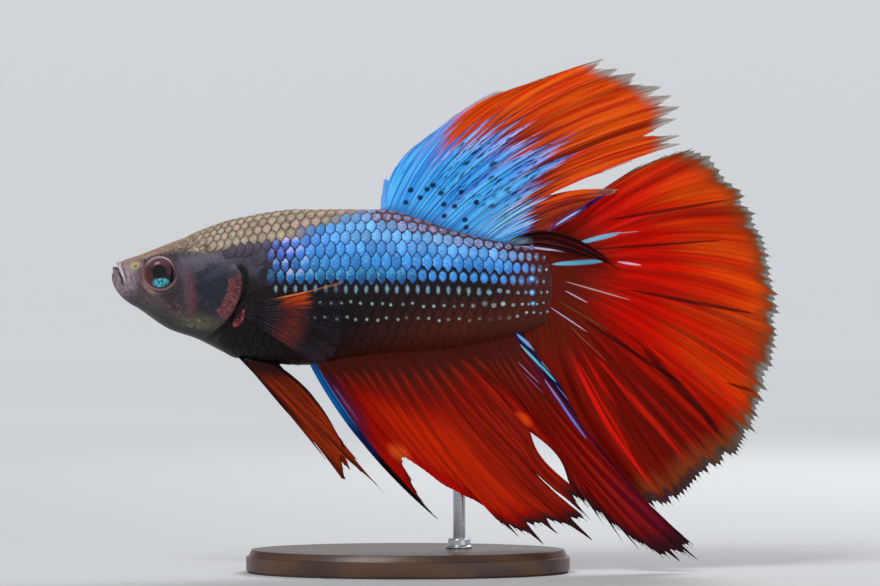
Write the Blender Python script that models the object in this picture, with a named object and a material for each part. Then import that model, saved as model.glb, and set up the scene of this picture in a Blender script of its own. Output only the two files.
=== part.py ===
"""A male half-moon betta fish (Betta splendens) as a still, life-size display model on a small stand.

Run it with: blender --background --python part.py

The fish faces -X with its left side to -Y. Z is up, and z = 0 is what the stand rests on.
Lengths are in millimetres until a mesh is made.
"""

import math

import bmesh
import bpy
import numpy as np

MM = 0.001
GAP = 0.3  # clearance between neighbouring solids

# Trunk: three lines along x, from the muzzle to the end of the tail stem.
MUZZLE_END, STEM_END = -32.4, 11.4
BACK = ((-32.4, 33.3), (-28.0, 35.0), (-21.6, 37.2), (-15.3, 38.05), (-6.9, 38.05),
        (-2.7, 37.05), (0.4, 35.95), (7.8, 34.2), (12.6, 33.3))
BELLY = ((-32.4, 27.65), (-29.0, 25.4), (-26.4, 24.5), (-21.6, 22.4), (-15.3, 21.75),
         (-9.0, 22.7), (-0.6, 23.4), (6.7, 24.7), (12.6, 27.0))
HALF_WIDTH = ((-32.4, 2.3), (-29.9, 3.0), (-25.5, 3.9), (-21.0, 4.35), (-14.0, 4.3),
              (-6.0, 3.9), (0.0, 3.2), (6.0, 2.2), (11.4, 1.0))
WIDEST_AT = 0.53  # height of the widest point, as a share of the depth
TRUNK_RINGS, MUZZLE_RINGS, RING_POINTS = 28, 7, 26

# Muzzle: every line over it starts at the middle of the mouth. Each row is (x, y, z) for a line over the top,
# one down the chin and one along the side: how it leaves the mouth, and how it comes in to the trunk.
MOUTH = (-34.75, 32.2)
LEAVES = ((0.2, 0.0, 0.5), (-0.9, 0.0, -0.6), (0.1, 1.3, -0.6))
COMES_IN = ((0.9, 0.0, 0.3), (2.7, 0.0, -1.3), (1.2, 0.2, 0.0))

EYE_CENTRE, EYE_OUT, EYE_RADIUS, EYE_HALF_DEPTH = (-29.85, 31.45), 2.25, 1.72, 1.15

# Where the flesh is parted: (x at the back, x at the belly) of each slanted cut.
CUT_HEIGHTS = (42.0, 18.0)
HEAD_CUT, CHEST_CUT, STEM_CUT = (-18.6, -23.4), (-7.6, -9.4), (6.4, 5.2)
JAW_OUTLINE = ((-37.0, 34.0), (-34.62, 32.23), (-33.8, 29.7), (-30.6, 27.6), (-29.2, 23.0), (-37.0, 23.0))
GILL_CENTRE, GILL_RADII, GILL_LEAN, GILL_DEPTH = (-24.0, 30.2), (2.1, 3.5), -0.16, 1.5

# Fins: each ray is (root, middle, tip) in x, z.
FIN_THICKNESS = 0.56
DORSAL_RAYS = (
    ((-6.8, 38.1), (-6.7, 39.8), (-6.5, 41.4)),
    ((-6.3, 38.1), (-5.5, 41.6), (-3.6, 44.6)),
    ((-5.8, 38.0), (-1.7, 45.0), (5.4, 50.6)),
    ((-5.2, 37.9), (0.6, 46.7), (10.6, 51.9)),
    ((-4.7, 37.7), (2.5, 47.5), (13.8, 53.0)),
    ((-4.1, 37.6), (4.6, 47.8), (16.9, 54.0)),
    ((-3.5, 37.4), (5.8, 47.0), (18.3, 52.9)),
    ((-2.7, 37.1), (7.0, 46.4), (20.2, 52.5)),
    ((-1.9, 36.9), (8.4, 45.5), (22.8, 51.1)),
    ((-1.1, 36.5), (9.4, 44.6), (24.0, 50.1)),
    ((-0.1, 36.1), (10.5, 43.8), (24.9, 48.9)),
    ((0.9, 35.8), (11.3, 42.9), (24.5, 47.6)),
    ((2.1, 35.6), (12.0, 41.9), (24.9, 46.0)),
    ((3.4, 35.3), (12.2, 40.8), (25.0, 45.0)),
    ((4.4, 35.1), (10.4, 38.6), (16.8, 40.0)),
    ((5.2, 34.9), (9.2, 36.6), (13.5, 37.8)),
    ((6.1, 34.6), (8.4, 35.7), (10.9, 36.3)),
    ((6.7, 34.5), (11.4, 34.9), (15.8, 33.9)),
    ((7.3, 34.3), (12.6, 34.1), (18.5, 31.9)),
    ((8.0, 34.1), (12.0, 33.6), (16.0, 32.7)),
)
CAUDAL_RAYS = (
    ((11.7, 34.0), (14.9, 38.6), (20.6, 42.9)),
    ((11.8, 33.6), (18.5, 40.0), (26.4, 44.6)),
    ((11.8, 33.1), (20.9, 37.8), (31.4, 39.8)),
    ((11.9, 32.5), (22.5, 35.3), (33.9, 34.8)),
    ((11.9, 31.9), (23.3, 32.2), (35.0, 29.4)),
    ((11.9, 31.3), (23.3, 28.9), (35.3, 24.3)),
    ((11.9, 30.6), (22.7, 26.4), (34.1, 19.2)),
    ((11.9, 29.9), (21.6, 23.9), (32.7, 14.8)),
    ((11.9, 29.3), (20.4, 22.1), (31.0, 12.2)),
    ((11.8, 28.7), (18.9, 20.3), (27.8, 9.8)),
    ((11.8, 28.1), (17.3, 18.6), (24.9, 7.2)),
    ((11.7, 27.5), (15.3, 17.2), (21.9, 6.3)),
    ((11.6, 27.0), (13.8, 17.5), (18.5, 7.6)),
)
CAUDAL_CUTS = (4.5, 8.5)  # rays between which the tail is parted
ANAL_FRONT_RAYS = (
    ((-14.0, 21.4), (-8.2, 12.8), (-0.4, 5.1)),
    ((-13.2, 21.5), (-8.2, 14.2), (-2.5, 7.6)),
    ((-12.3, 21.6), (-8.5, 16.8), (-4.4, 12.1)),
    ((-11.3, 21.8), (-7.1, 16.5), (-2.3, 10.7)),
    ((-10.4, 22.0), (-5.6, 16.0), (-0.2, 9.1)),
    ((-9.3, 22.2), (-4.3, 15.3), (1.9, 8.0)),
    ((-8.2, 22.4), (-2.8, 14.5), (4.0, 6.9)),
    ((-6.9, 22.5), (-0.9, 13.3), (6.5, 4.5)),
    ((-5.7, 22.6), (0.7, 13.0), (8.6, 3.8)),
    ((-4.4, 22.7), (2.3, 13.2), (10.4, 4.8)),
    ((-3.1, 22.8), (4.0, 13.4), (12.9, 4.6)),
    ((-1.9, 22.9), (5.4, 13.9), (14.8, 5.5)),
    ((-0.6, 23.0), (6.3, 15.3), (12.9, 8.2)),
    ((0.5, 23.1), (7.2, 16.6), (12.4, 9.7)),
)
ANAL_REAR_RAYS = (
    ((0.7, 23.1), (7.5, 16.7), (15.0, 6.8)),
    ((2.2, 23.3), (9.1, 15.8), (16.4, 5.6)),
    ((3.6, 23.5), (10.4, 14.6), (18.0, 4.4)),
    ((4.4, 23.7), (11.5, 13.3), (20.4, 2.8)),
    ((5.1, 23.8), (13.0, 12.6), (23.0, 1.6)),
    ((5.9, 24.0), (14.1, 12.6), (25.3, 1.7)),
    ((6.5, 24.1), (14.9, 13.1), (26.0, 2.6)),
    ((7.0, 24.2), (13.9, 15.4), (22.5, 5.9)),
    ((7.5, 24.3), (12.5, 17.8), (18.5, 9.9)),
    ((7.9, 24.4), (11.3, 19.6), (15.3, 13.9)),
    ((8.3, 24.5), (10.0, 22.2), (12.2, 19.5)),
)
# The leaf-shaped tear between the two anal lobes: its ends along the ray, and half its width.
TEAR_FROM, TEAR_TO, TEAR_HALF_WIDTH, TEAR_REACH = 0.52, 0.88, 0.8, 1.4
PELVIC_LEFT_RAYS = (
    ((-21.1, 22.0), (-16.0, 15.5), (-10.8, 10.6)),
    ((-20.4, 21.9), (-14.3, 15.4), (-6.1, 8.0)),
    ((-19.3, 21.6), (-14.1, 16.8), (-9.0, 11.5)),
    ((-17.3, 21.4), (-13.8, 17.5), (-10.6, 13.3)),
)
PELVIC_RIGHT_RAYS = (
    ((-21.1, 22.0), (-16.3, 16.2), (-12.6, 11.6)),
    ((-20.4, 21.9), (-15.1, 15.6), (-10.6, 9.6)),
    ((-19.3, 21.6), (-14.2, 16.2), (-9.9, 10.4)),
    ((-17.3, 21.4), (-13.8, 17.3), (-10.6, 13.3)),
)
PECTORAL_RAYS = (
    ((-20.3, 28.2), (-15.3, 29.3), (-10.5, 30.6)),
    ((-20.3, 27.8), (-15.1, 28.2), (-10.3, 28.6)),
    ((-20.3, 27.3), (-15.1, 27.0), (-10.4, 25.9)),
    ((-20.3, 26.9), (-15.5, 25.4), (-11.1, 23.3)),
    ((-20.3, 26.4), (-16.4, 23.8), (-13.0, 21.0)),
)

# Stand: an oval foot with one rod that plugs into the belly beside the anal fin.
FOOT_CENTRE_X, FOOT_RADII, FOOT_HEIGHT, FOOT_EDGE = -4.0, (17.0, 11.0), 2.4, 0.5
ROD_X, ROD_Y, ROD_RADIUS, ROD_TOP = 1.4, 1.85, 0.65, 27.4
COLLAR_RADIUS, COLLAR_HEIGHT = 1.3, 1.0


def smooth_line(points, at):
    """The height of a smooth line through (x, value) points that never overshoots them."""
    x, y = np.array(points, float).T
    slopes = np.diff(y) / np.diff(x)
    turns = np.zeros(len(x))
    turns[0], turns[-1] = slopes[0], slopes[-1]
    rising = slopes[:-1] * slopes[1:] > 0
    turns[1:-1][rising] = 2 / (1 / slopes[:-1][rising] + 1 / slopes[1:][rising])
    at = np.clip(at, x[0], x[-1])
    i = np.clip(np.searchsorted(x, at) - 1, 0, len(x) - 2)
    h = x[i + 1] - x[i]
    t = (at - x[i]) / h
    return (y[i] * (1 + 2 * t) * (1 - t) ** 2 + y[i + 1] * t * t * (3 - 2 * t)
            + h * turns[i] * t * (1 - t) ** 2 - h * turns[i + 1] * t * t * (1 - t))


def clear_scene():
    for obj in list(bpy.data.objects):
        bpy.data.objects.remove(obj)


def finish(name, hue, roughness=0.5, metallic=0.0):
    """A plain finish in one colour."""
    material = bpy.data.materials.new(name)
    material.use_nodes = True
    shader = material.node_tree.nodes["Principled BSDF"]
    shader.inputs["Base Color"].default_value = (*hue, 1.0)
    shader.inputs["Roughness"].default_value = roughness
    shader.inputs["Metallic"].default_value = metallic
    return material


def add_mesh(name, points, faces, material):
    """A smooth-shaded object from points in millimetres."""
    mesh = bpy.data.meshes.new(name)
    mesh.from_pydata([tuple(MM * c for c in p) for p in points], [], faces)
    work = bmesh.new()
    work.from_mesh(mesh)
    bmesh.ops.recalc_face_normals(work, faces=work.faces)
    work.to_mesh(mesh)
    work.free()
    mesh.materials.append(material)
    mesh.shade_smooth()
    mesh.set_sharp_from_angle(angle=math.radians(40))
    obj = bpy.data.objects.new(name, mesh)
    bpy.context.scene.collection.objects.link(obj)
    return obj


def use_as_cutter(obj):
    obj.hide_render = True
    obj.display_type = "WIRE"
    return obj


def cut(obj, cutter, operation="DIFFERENCE"):
    """Adds a live Boolean with the cutter."""
    modifier = obj.modifiers.new(cutter.name, "BOOLEAN")
    modifier.object = cutter
    modifier.operation = operation
    modifier.solver = "EXACT"


def prism(name, outline, y_low, y_high, material):
    """A cutter: an outline in x, z, drawn out from y_low to y_high."""
    n = len(outline)
    points = [(x, y, z) for y in (y_low, y_high) for x, z in outline]
    sides = [(i, (i + 1) % n, n + (i + 1) % n, n + i) for i in range(n)]
    caps = [tuple(range(n)), tuple(range(n, 2 * n))]
    return use_as_cutter(add_mesh(name, points, sides + caps, material))


def trunk_ring(x, angles):
    """One upright ring of the trunk at x. Angle 0 is the middle of the back and pi the middle of the belly."""
    top, bottom, half = (float(smooth_line(line, x)) for line in (BACK, BELLY, HALF_WIDTH))
    middle = bottom + WIDEST_AT * (top - bottom)
    reach = np.where(np.cos(angles) > 0, top - middle, middle - bottom)
    return np.stack([np.full(len(angles), x), half * np.sin(angles), middle + reach * np.cos(angles)], axis=1)


def muzzle_ring(share, angles):
    """A ring between the middle of the mouth (share 0) and the first ring of the trunk (share 1)."""
    weights = np.stack([np.maximum(np.cos(angles), 0), np.maximum(-np.cos(angles), 0), np.abs(np.sin(angles))])
    mirror = np.stack([np.ones(len(angles)), np.sign(np.sin(angles)), np.ones(len(angles))], axis=1)
    start, end = np.array([MOUTH[0], 0.0, MOUTH[1]]), trunk_ring(MUZZLE_END, angles)
    near = start + weights.T @ np.array(LEAVES) * mirror
    far = end - weights.T @ np.array(COMES_IN) * mirror
    s = share
    return (1 - s) ** 3 * start + 3 * s * (1 - s) ** 2 * near + 3 * s * s * (1 - s) * far + s ** 3 * end


def make_flesh(name, material):
    """The whole body without fins, closed at the mouth and at the end of the tail stem."""
    angles = np.linspace(0, 2 * math.pi, RING_POINTS, endpoint=False)
    rings = [muzzle_ring(s, angles) for s in np.linspace(0, 1, MUZZLE_RINGS, endpoint=False)[1:]]
    rings += [trunk_ring(x, angles) for x in np.linspace(MUZZLE_END, STEM_END, TRUNK_RINGS)]
    n = RING_POINTS
    points = [p for ring in rings for p in ring]
    points += [(MOUTH[0], 0, MOUTH[1]), tuple(rings[-1].mean(axis=0))]
    faces = [(r * n + i, r * n + (i + 1) % n, (r + 1) * n + (i + 1) % n, (r + 1) * n + i)
             for r in range(len(rings) - 1) for i in range(n)]
    last = (len(rings) - 1) * n
    faces += [(i, (i + 1) % n, len(points) - 2) for i in range(n)]
    faces += [(last + i, last + (i + 1) % n, len(points) - 1) for i in range(n)]
    return add_mesh(name, points, faces, material)


def ellipsoid(name, centre, radii, material, segments=18, rings=10):
    """A closed ball, stretched to its three radii."""
    work = bmesh.new()
    bmesh.ops.create_uvsphere(work, u_segments=segments, v_segments=rings, radius=1.0)
    points = [tuple(c + r * v for c, r, v in zip(centre, radii, vert.co)) for vert in work.verts]
    faces = [tuple(v.index for v in face.verts) for face in work.faces]
    work.free()
    return add_mesh(name, points, faces, material)


def eye(name, side, material, grow=0.0):
    x, z = EYE_CENTRE
    flat, deep = EYE_RADIUS + grow, EYE_HALF_DEPTH + grow
    return ellipsoid(name, (x, side * EYE_OUT, z), (flat, deep, flat), material)


def zone(name, front, rear, material):
    """A cutter for the stretch of flesh between two slanted cuts, half a gap inside each. None is past the end."""
    high, low = CUT_HEIGHTS
    front_top, front_low = (x + GAP / 2 for x in front) if front else (-40.0, -40.0)
    rear_top, rear_low = (x - GAP / 2 for x in rear) if rear else (15.0, 15.0)
    outline = ((front_top, high), (rear_top, high), (rear_low, low), (front_low, low))
    return prism(name, outline, -8.0, 8.0, material)


def gill_outline(grow):
    """An egg shape that leans forward at the bottom, in x, z."""
    turn = np.linspace(0, 2 * math.pi, 18, endpoint=False)
    z = (GILL_RADII[1] + grow) * np.cos(turn)
    x = (GILL_RADII[0] + grow) * np.sin(turn) - GILL_LEAN * z
    return [(GILL_CENTRE[0] + a, GILL_CENTRE[1] + b) for a, b in zip(x, z)]


def grown(outline, by):
    """An outline moved outwards from its middle by about that much."""
    points = np.array(outline)
    out = points - points.mean(axis=0)
    return [tuple(p) for p in points + by * out / np.linalg.norm(out, axis=1)[:, None]]


def gill_inner_face():
    """How far from the middle of the fish the inner face of a gill cover lies."""
    return float(smooth_line(HALF_WIDTH, GILL_CENTRE[0])) - GILL_DEPTH


def build_body(looks):
    """Parts the flesh into head, lower jaw, gill covers, trunk and tail stem, and sets the eyes in their sockets."""
    helper = looks["skin"]
    skull_zone = zone("cut_head", None, HEAD_CUT, helper)
    jaw_zone = prism("cut_jaw", JAW_OUTLINE, -8.0, 8.0, helper)
    jaw_space = prism("cut_jaw_space", [(x + 0.22, z + 0.22) for x, z in JAW_OUTLINE], -8.2, 8.2, helper)

    head = make_flesh("head", looks["head"])
    cut(head, skull_zone, "INTERSECT")
    cut(head, jaw_space)
    jaw = make_flesh("lower_jaw", looks["head"])
    cut(jaw, skull_zone, "INTERSECT")
    cut(jaw, jaw_zone, "INTERSECT")

    for side, word in ((-1, "left"), (1, "right")):
        inner, outer = sorted((side * (gill_inner_face()), side * 8.0))
        plate = prism(f"cut_gill_{word}", gill_outline(0.0), inner, outer, helper)
        space_inner, space_outer = sorted((side * (gill_inner_face() - GAP), side * 8.2))
        space = prism(f"cut_gill_space_{word}", gill_outline(GAP), space_inner, space_outer, helper)
        cover = make_flesh(f"gill_cover_{word}", looks["gill"])
        cut(cover, plate, "INTERSECT")
        cut(head, space)
        eye(f"eye_{word}", side, looks["eye"])
        socket = use_as_cutter(eye(f"cut_socket_{word}", side, helper, grow=GAP))
        cut(head, socket)

    rod_space = use_as_cutter(tube("cut_rod", (ROD_X, ROD_Y), ROD_RADIUS + GAP, 10.0, ROD_TOP + GAP, helper))
    for name, front, rear in (("trunk_front", HEAD_CUT, CHEST_CUT), ("trunk_rear", CHEST_CUT, STEM_CUT),
                              ("tail_stem", STEM_CUT, None)):
        piece = make_flesh(name, looks["skin"])
        cut(piece, zone(f"cut_{name}", front, rear, helper), "INTERSECT")
        if name == "trunk_rear":
            cut(piece, rod_space)


def ray_points(rays, u, t):
    """Points in x, z on a fin at ray number u and share t of the ray's length."""
    numbers = np.arange(len(rays))
    table = np.array(rays, float).reshape(len(rays), 6)
    root_x, root_z, mid_x, mid_z, tip_x, tip_z = (
        smooth_line(list(zip(numbers, column)), u) for column in table.T)
    bend_x, bend_z = 2 * mid_x - (root_x + tip_x) / 2, 2 * mid_z - (root_z + tip_z) / 2
    x = (1 - t) ** 2 * root_x + 2 * t * (1 - t) * bend_x + t * t * tip_x
    z = (1 - t) ** 2 * root_z + 2 * t * (1 - t) * bend_z + t * t * tip_z
    return x, z


def fin_sheet(name, rays, sideways, material, rows=6, first=0.0, last=None, recess=0.07,
              trim_first=0.0, trim_last=0.0, opening=None, thickness=FIN_THICKNESS):
    """A closed sheet over the rays from number first to last.

    sideways(u, t) gives y. The edge draws back by the share recess between two ray tips. trim_first and
    trim_last keep that much free at the two side edges, and opening(u, t) moves points along x.
    """
    last = len(rays) - 1 if last is None else last
    spread = [n + f for n in range(int(first), math.ceil(last)) for f in (0.0, 0.22, 0.78)]
    columns = np.array([first] + [u for u in spread if first + 0.1 < u < last - 0.1] + [last])
    shares = np.linspace(0, 1, rows) ** 0.9
    sheet = []
    for share in shares:
        steps = []
        for edge, inwards, trim in ((first, 1.0, trim_first), (last, -1.0, trim_last)):
            here = np.array(ray_points(rays, np.array([edge, edge + inwards]), share))
            steps.append(trim / max(float(np.hypot(*(here[:, 1] - here[:, 0]))), 1e-6))
        squeezed = first + steps[0] + (columns - first) * (1 - (steps[0] + steps[1]) / (last - first))
        off_ray = np.abs(columns - np.round(columns))
        t = share * (1 - recess * (2 * off_ray) ** 0.45)
        x, z = ray_points(rays, squeezed, t)
        if opening:
            x = x + opening(squeezed, t)
        sheet.append(np.stack([x, sideways(squeezed, t), z], axis=1))
    middle = np.array(sheet)
    count = len(columns)
    half = np.array([0.0, thickness / 2, 0.0])
    points = np.concatenate([(middle - half).reshape(-1, 3), (middle + half).reshape(-1, 3)])
    other = rows * count
    faces = []
    for r in range(rows - 1):
        for c in range(count - 1):
            a, b = r * count + c, (r + 1) * count + c
            faces += [(a, a + 1, b + 1, b), (other + a, other + b, other + b + 1, other + a + 1)]
    border = [c for c in range(count)] + [r * count + count - 1 for r in range(1, rows)]
    border += [(rows - 1) * count + c for c in range(count - 2, -1, -1)]
    border += [r * count for r in range(rows - 2, 0, -1)]
    faces += [(a, b, other + b, other + a) for a, b in zip(border, border[1:] + border[:1])]
    return add_mesh(name, points, faces, material)


def ripple(u, t, waves, size, phase=0.0):
    """A sideways wave that runs across the rays and grows towards their tips."""
    return size * t ** 1.5 * np.sin(2 * math.pi * waves * u + phase)


def ease(value):
    value = np.clip(value, 0, 1)
    return value * value * (3 - 2 * value)


def dorsal_sideways(u, t):
    """The last rays hang over the near side of the tail fin."""
    return ripple(u, t, 0.28, 0.45) * ease((15 - u) / 3) - 1.25 * ease((u - 12.5) / 4.5) * ease(t / 0.6)


def caudal_sideways(u, t):
    """The tail swings gently to the right and its edge is ruffled."""
    return 1.0 * ease(t) * ease((u + 1) / 9) + ripple(u, t, 0.36, 0.5, 0.8)


def anal_sideways(u, t):
    """The rear lobe lies on the near side of the tail fin."""
    return ripple(u, t, 0.22, 0.35, 0.4)


def anal_rear_sideways(u, t):
    return anal_sideways(u + len(ANAL_FRONT_RAYS), t) * (1 - 0.6 * ease(u / 5)) - 1.0 * ease(u / 7) * ease(t / 0.5)


def tear(u_from_edge, t):
    """How far the tear pushes a point aside, most at its own edge."""
    along = np.clip((t - TEAR_FROM) / (TEAR_TO - TEAR_FROM), 0, 1)
    return TEAR_HALF_WIDTH * np.sin(math.pi * along) * np.exp(-(u_from_edge / TEAR_REACH) ** 2)


def build_fins(looks):
    """All the fins as sheets over their rays."""
    red, blue = looks["fin"], looks["dorsal"]
    lifted = [((root[0], root[1] + GAP + 0.1), middle, tip) for root, middle, tip in DORSAL_RAYS]
    fin_sheet("dorsal_fin", lifted, dorsal_sideways, blue)
    lower, upper = CAUDAL_CUTS[1], CAUDAL_CUTS[0]
    half_gap = GAP / 2 + 0.03
    for name, first, last in (("caudal_fin_upper", 0.0, upper), ("caudal_fin_middle", upper, lower),
                              ("caudal_fin_lower", lower, len(CAUDAL_RAYS) - 1.0)):
        fin_sheet(name, CAUDAL_RAYS, caudal_sideways, red, first=first, last=last, recess=0.035,
                  trim_first=half_gap if first else 0.0, trim_last=half_gap if last < 12 else 0.0)
    edge = len(ANAL_FRONT_RAYS) - 1
    fin_sheet("anal_fin_front", ANAL_FRONT_RAYS, anal_sideways, red, rows=7, recess=0.06,
              trim_last=half_gap, opening=lambda u, t: -tear(edge - u, 0.93 * t))
    fin_sheet("anal_fin_rear", ANAL_REAR_RAYS, anal_rear_sideways, red, rows=7, recess=0.05,
              trim_first=half_gap, opening=tear)
    fin_sheet("pelvic_fin_left", PELVIC_LEFT_RAYS, lambda u, t: -0.95 - 0.7 * t, red, rows=6, recess=0.16)
    fin_sheet("pelvic_fin_right", PELVIC_RIGHT_RAYS, lambda u, t: 0.95 + 0.7 * t, red, rows=6, recess=0.12)
    for side, word in ((-1, "left"), (1, "right")):
        fin_sheet(f"pectoral_fin_{word}", PECTORAL_RAYS,
                  lambda u, t, side=side: side * (4.65 + 2.1 * t + 0.25 * t * np.sin(1.6 * u)), looks["pectoral"],
                  rows=5, recess=0.06, thickness=0.5)


def tube(name, centre, radius, z_low, z_high, material, sides=20):
    """An upright round bar."""
    turn = np.linspace(0, 2 * math.pi, sides, endpoint=False)
    x, y = centre[0] + radius * np.cos(turn), centre[1] + radius * np.sin(turn)
    points = [(a, b, z) for z in (z_low, z_high) for a, b in zip(x, y)]
    faces = [(i, (i + 1) % sides, sides + (i + 1) % sides, sides + i) for i in range(sides)]
    return add_mesh(name, points, faces + [tuple(range(sides)), tuple(range(sides, 2 * sides))], material)


def build_stand(looks):
    """The oval foot with a softened edge, the rod and the collar at its lower end."""
    turn = np.linspace(0, 2 * math.pi, 40, endpoint=False)
    points = []
    for z, inset in ((0.0, 0.0), (FOOT_HEIGHT - FOOT_EDGE, 0.0), (FOOT_HEIGHT, FOOT_EDGE)):
        points += [(FOOT_CENTRE_X + (FOOT_RADII[0] - inset) * math.cos(a),
                    (FOOT_RADII[1] - inset) * math.sin(a), z) for a in turn]
    n = len(turn)
    faces = [(level * n + i, level * n + (i + 1) % n, (level + 1) * n + (i + 1) % n, (level + 1) * n + i)
             for level in range(2) for i in range(n)]
    add_mesh("stand_base", points, faces + [tuple(range(n)), tuple(range(2 * n, 3 * n))], looks["wood"])
    low = FOOT_HEIGHT + 0.02
    tube("stand_rod", (ROD_X, ROD_Y), ROD_RADIUS, low, ROD_TOP, looks["steel"])
    collar = tube("stand_collar", (ROD_X, ROD_Y), COLLAR_RADIUS, low, low + COLLAR_HEIGHT, looks["steel"])
    bore = use_as_cutter(tube("cut_collar", (ROD_X, ROD_Y), ROD_RADIUS + 0.05, 1.0, 5.0, looks["steel"]))
    cut(collar, bore)


def main():
    clear_scene()
    looks = {
        "skin": finish("skin", (0.10, 0.24, 0.50), 0.35),
        "head": finish("head", (0.16, 0.12, 0.12), 0.4),
        "gill": finish("gill", (0.05, 0.06, 0.09), 0.35),
        "eye": finish("eye", (0.05, 0.02, 0.03), 0.1),
        "dorsal": finish("dorsal", (0.10, 0.40, 0.85), 0.4),
        "fin": finish("fin", (0.60, 0.03, 0.01), 0.4),
        "pectoral": finish("pectoral", (0.45, 0.16, 0.12), 0.4),
        "wood": finish("wood", (0.05, 0.025, 0.015), 0.4),
        "steel": finish("steel", (0.6, 0.6, 0.62), 0.3, 1.0),
    }
    build_body(looks)
    build_fins(looks)
    build_stand(looks)


main()
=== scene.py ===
"""The looks of a male half-moon betta fish on its display stand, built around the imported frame.

The fish faces -X with its left side to -Y, and the stand rests on z = 0. Sizes are in millimetres
until a mesh is made.
"""

from __future__ import annotations

import logging
import math
from dataclasses import dataclass
from enum import Enum
from typing import Callable, Iterable, Sequence

import bmesh
import bpy
import numpy as np
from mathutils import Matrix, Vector

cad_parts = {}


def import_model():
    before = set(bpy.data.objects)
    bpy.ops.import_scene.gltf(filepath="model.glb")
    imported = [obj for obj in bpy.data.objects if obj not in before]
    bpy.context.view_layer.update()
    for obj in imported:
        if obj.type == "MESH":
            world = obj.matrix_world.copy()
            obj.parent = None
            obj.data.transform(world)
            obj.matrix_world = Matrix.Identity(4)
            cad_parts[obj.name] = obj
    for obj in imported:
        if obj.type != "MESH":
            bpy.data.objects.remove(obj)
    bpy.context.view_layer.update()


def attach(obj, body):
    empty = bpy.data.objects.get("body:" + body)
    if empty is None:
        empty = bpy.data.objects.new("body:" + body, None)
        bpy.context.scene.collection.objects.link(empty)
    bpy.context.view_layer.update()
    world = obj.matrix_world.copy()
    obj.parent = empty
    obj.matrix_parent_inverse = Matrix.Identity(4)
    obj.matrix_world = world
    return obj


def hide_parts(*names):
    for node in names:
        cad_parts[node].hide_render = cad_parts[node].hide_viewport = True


LOG = logging.getLogger("betta")
MM = 0.001
SEED = 7

Array = np.ndarray
Pair = tuple[float, float]
Triple = tuple[float, float, float]
Colour = Triple
Sway = Callable[[Array, Array], Array]
Socket = bpy.types.NodeSocket
Material = bpy.types.Material
Thing = bpy.types.Object
Stroke = tuple[float, float, float, float, float, Colour]
Coat = tuple[object, object]


class Side(Enum):
    """The two sides of the fish, as the sign of y."""

    LEFT = -1
    RIGHT = 1

    @property
    def word(self) -> str:
        """The side's name as the frame's nodes spell it."""
        return self.name.lower()


def ease(value: Array) -> Array:
    """A smooth step from 0 to 1."""
    value = np.clip(value, 0.0, 1.0)
    return value * value * (3.0 - 2.0 * value)


def bell(value: Array, width: float) -> Array:
    """A bell curve, 1 at zero and near 0 beyond twice the width."""
    return np.exp(-((value / width) ** 2))


def linear(shade: Colour) -> Colour:
    """A display colour in 0..255 as the linear colour that shaders take."""
    return tuple((c / 255 / 12.92) if c <= 10 else ((c / 255 + 0.055) / 1.055) ** 2.4 for c in shade)


@dataclass(frozen=True)
class Line:
    """A smooth line through (x, value) points that never overshoots them."""

    points: tuple[Pair, ...]

    def at(self, where: Array | float) -> Array:
        """The line's value.

        Args:
            where: Places along x, clipped to the ends.

        Returns:
            One value for each place.
        """
        x, y = np.array(self.points, float).T
        slopes = np.diff(y) / np.diff(x)
        turns = np.zeros(len(x))
        turns[0], turns[-1] = slopes[0], slopes[-1]
        same = slopes[:-1] * slopes[1:] > 0
        turns[1:-1][same] = 2 / (1 / slopes[:-1][same] + 1 / slopes[1:][same])
        where = np.clip(np.asarray(where, float), x[0], x[-1])
        i = np.clip(np.searchsorted(x, where) - 1, 0, len(x) - 2)
        h = x[i + 1] - x[i]
        t = (where - x[i]) / h
        return (y[i] * (1 + 2 * t) * (1 - t) ** 2 + y[i + 1] * t * t * (3 - 2 * t)
                + h * turns[i] * t * (1 - t) ** 2 - h * turns[i + 1] * t * t * (1 - t))


@dataclass(frozen=True)
class Path:
    """A chain of straight lines in x, z, seen from the fish's side."""

    points: tuple[Pair, ...]

    def nearest(self, x: Array, z: Array) -> tuple[Array, Array]:
        """How places lie to the path.

        Args:
            x: The places' x.
            z: The places' z.

        Returns:
            The distance, below 0 on the path's right-hand side as it is walked, and the share of its length.
        """
        steps = np.diff(np.array(self.points), axis=0)
        lengths = np.hypot(*steps.T)
        before = np.concatenate([[0.0], np.cumsum(lengths)])
        best = np.full(np.shape(x), np.inf)
        side, share = np.ones(np.shape(x)), np.zeros(np.shape(x))
        for i, (dx, dz) in enumerate(steps):
            ox, oz = x - self.points[i][0], z - self.points[i][1]
            t = np.clip((ox * dx + oz * dz) / lengths[i] ** 2, 0, 1)
            far = np.hypot(ox - t * dx, oz - t * dz)
            closer = far < best
            best = np.where(closer, far, best)
            side = np.where(closer, np.where(dx * oz - dz * ox < 0, -1.0, 1.0), side)
            share = np.where(closer, (before[i] + t * lengths[i]) / before[-1], share)
        return best * side, share


# ---- meshes


def grid_faces(rows: int, columns: int, around: bool = False, start: int = 0) -> Array:
    """The four-sided faces of a grid of points.

    Args:
        rows: Number of rows of points.
        columns: Number of points in a row.
        around: Whether each row closes on itself.
        start: Number of the first point.

    Returns:
        One row of four point numbers for each face.
    """
    r, c = np.meshgrid(np.arange(rows - 1), np.arange(columns if around else columns - 1), indexing="ij")
    right = (c + 1) % columns
    corners = [r * columns + c, r * columns + right, (r + 1) * columns + right, (r + 1) * columns + c]
    return start + np.stack([k.ravel() for k in corners], axis=1)


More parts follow.
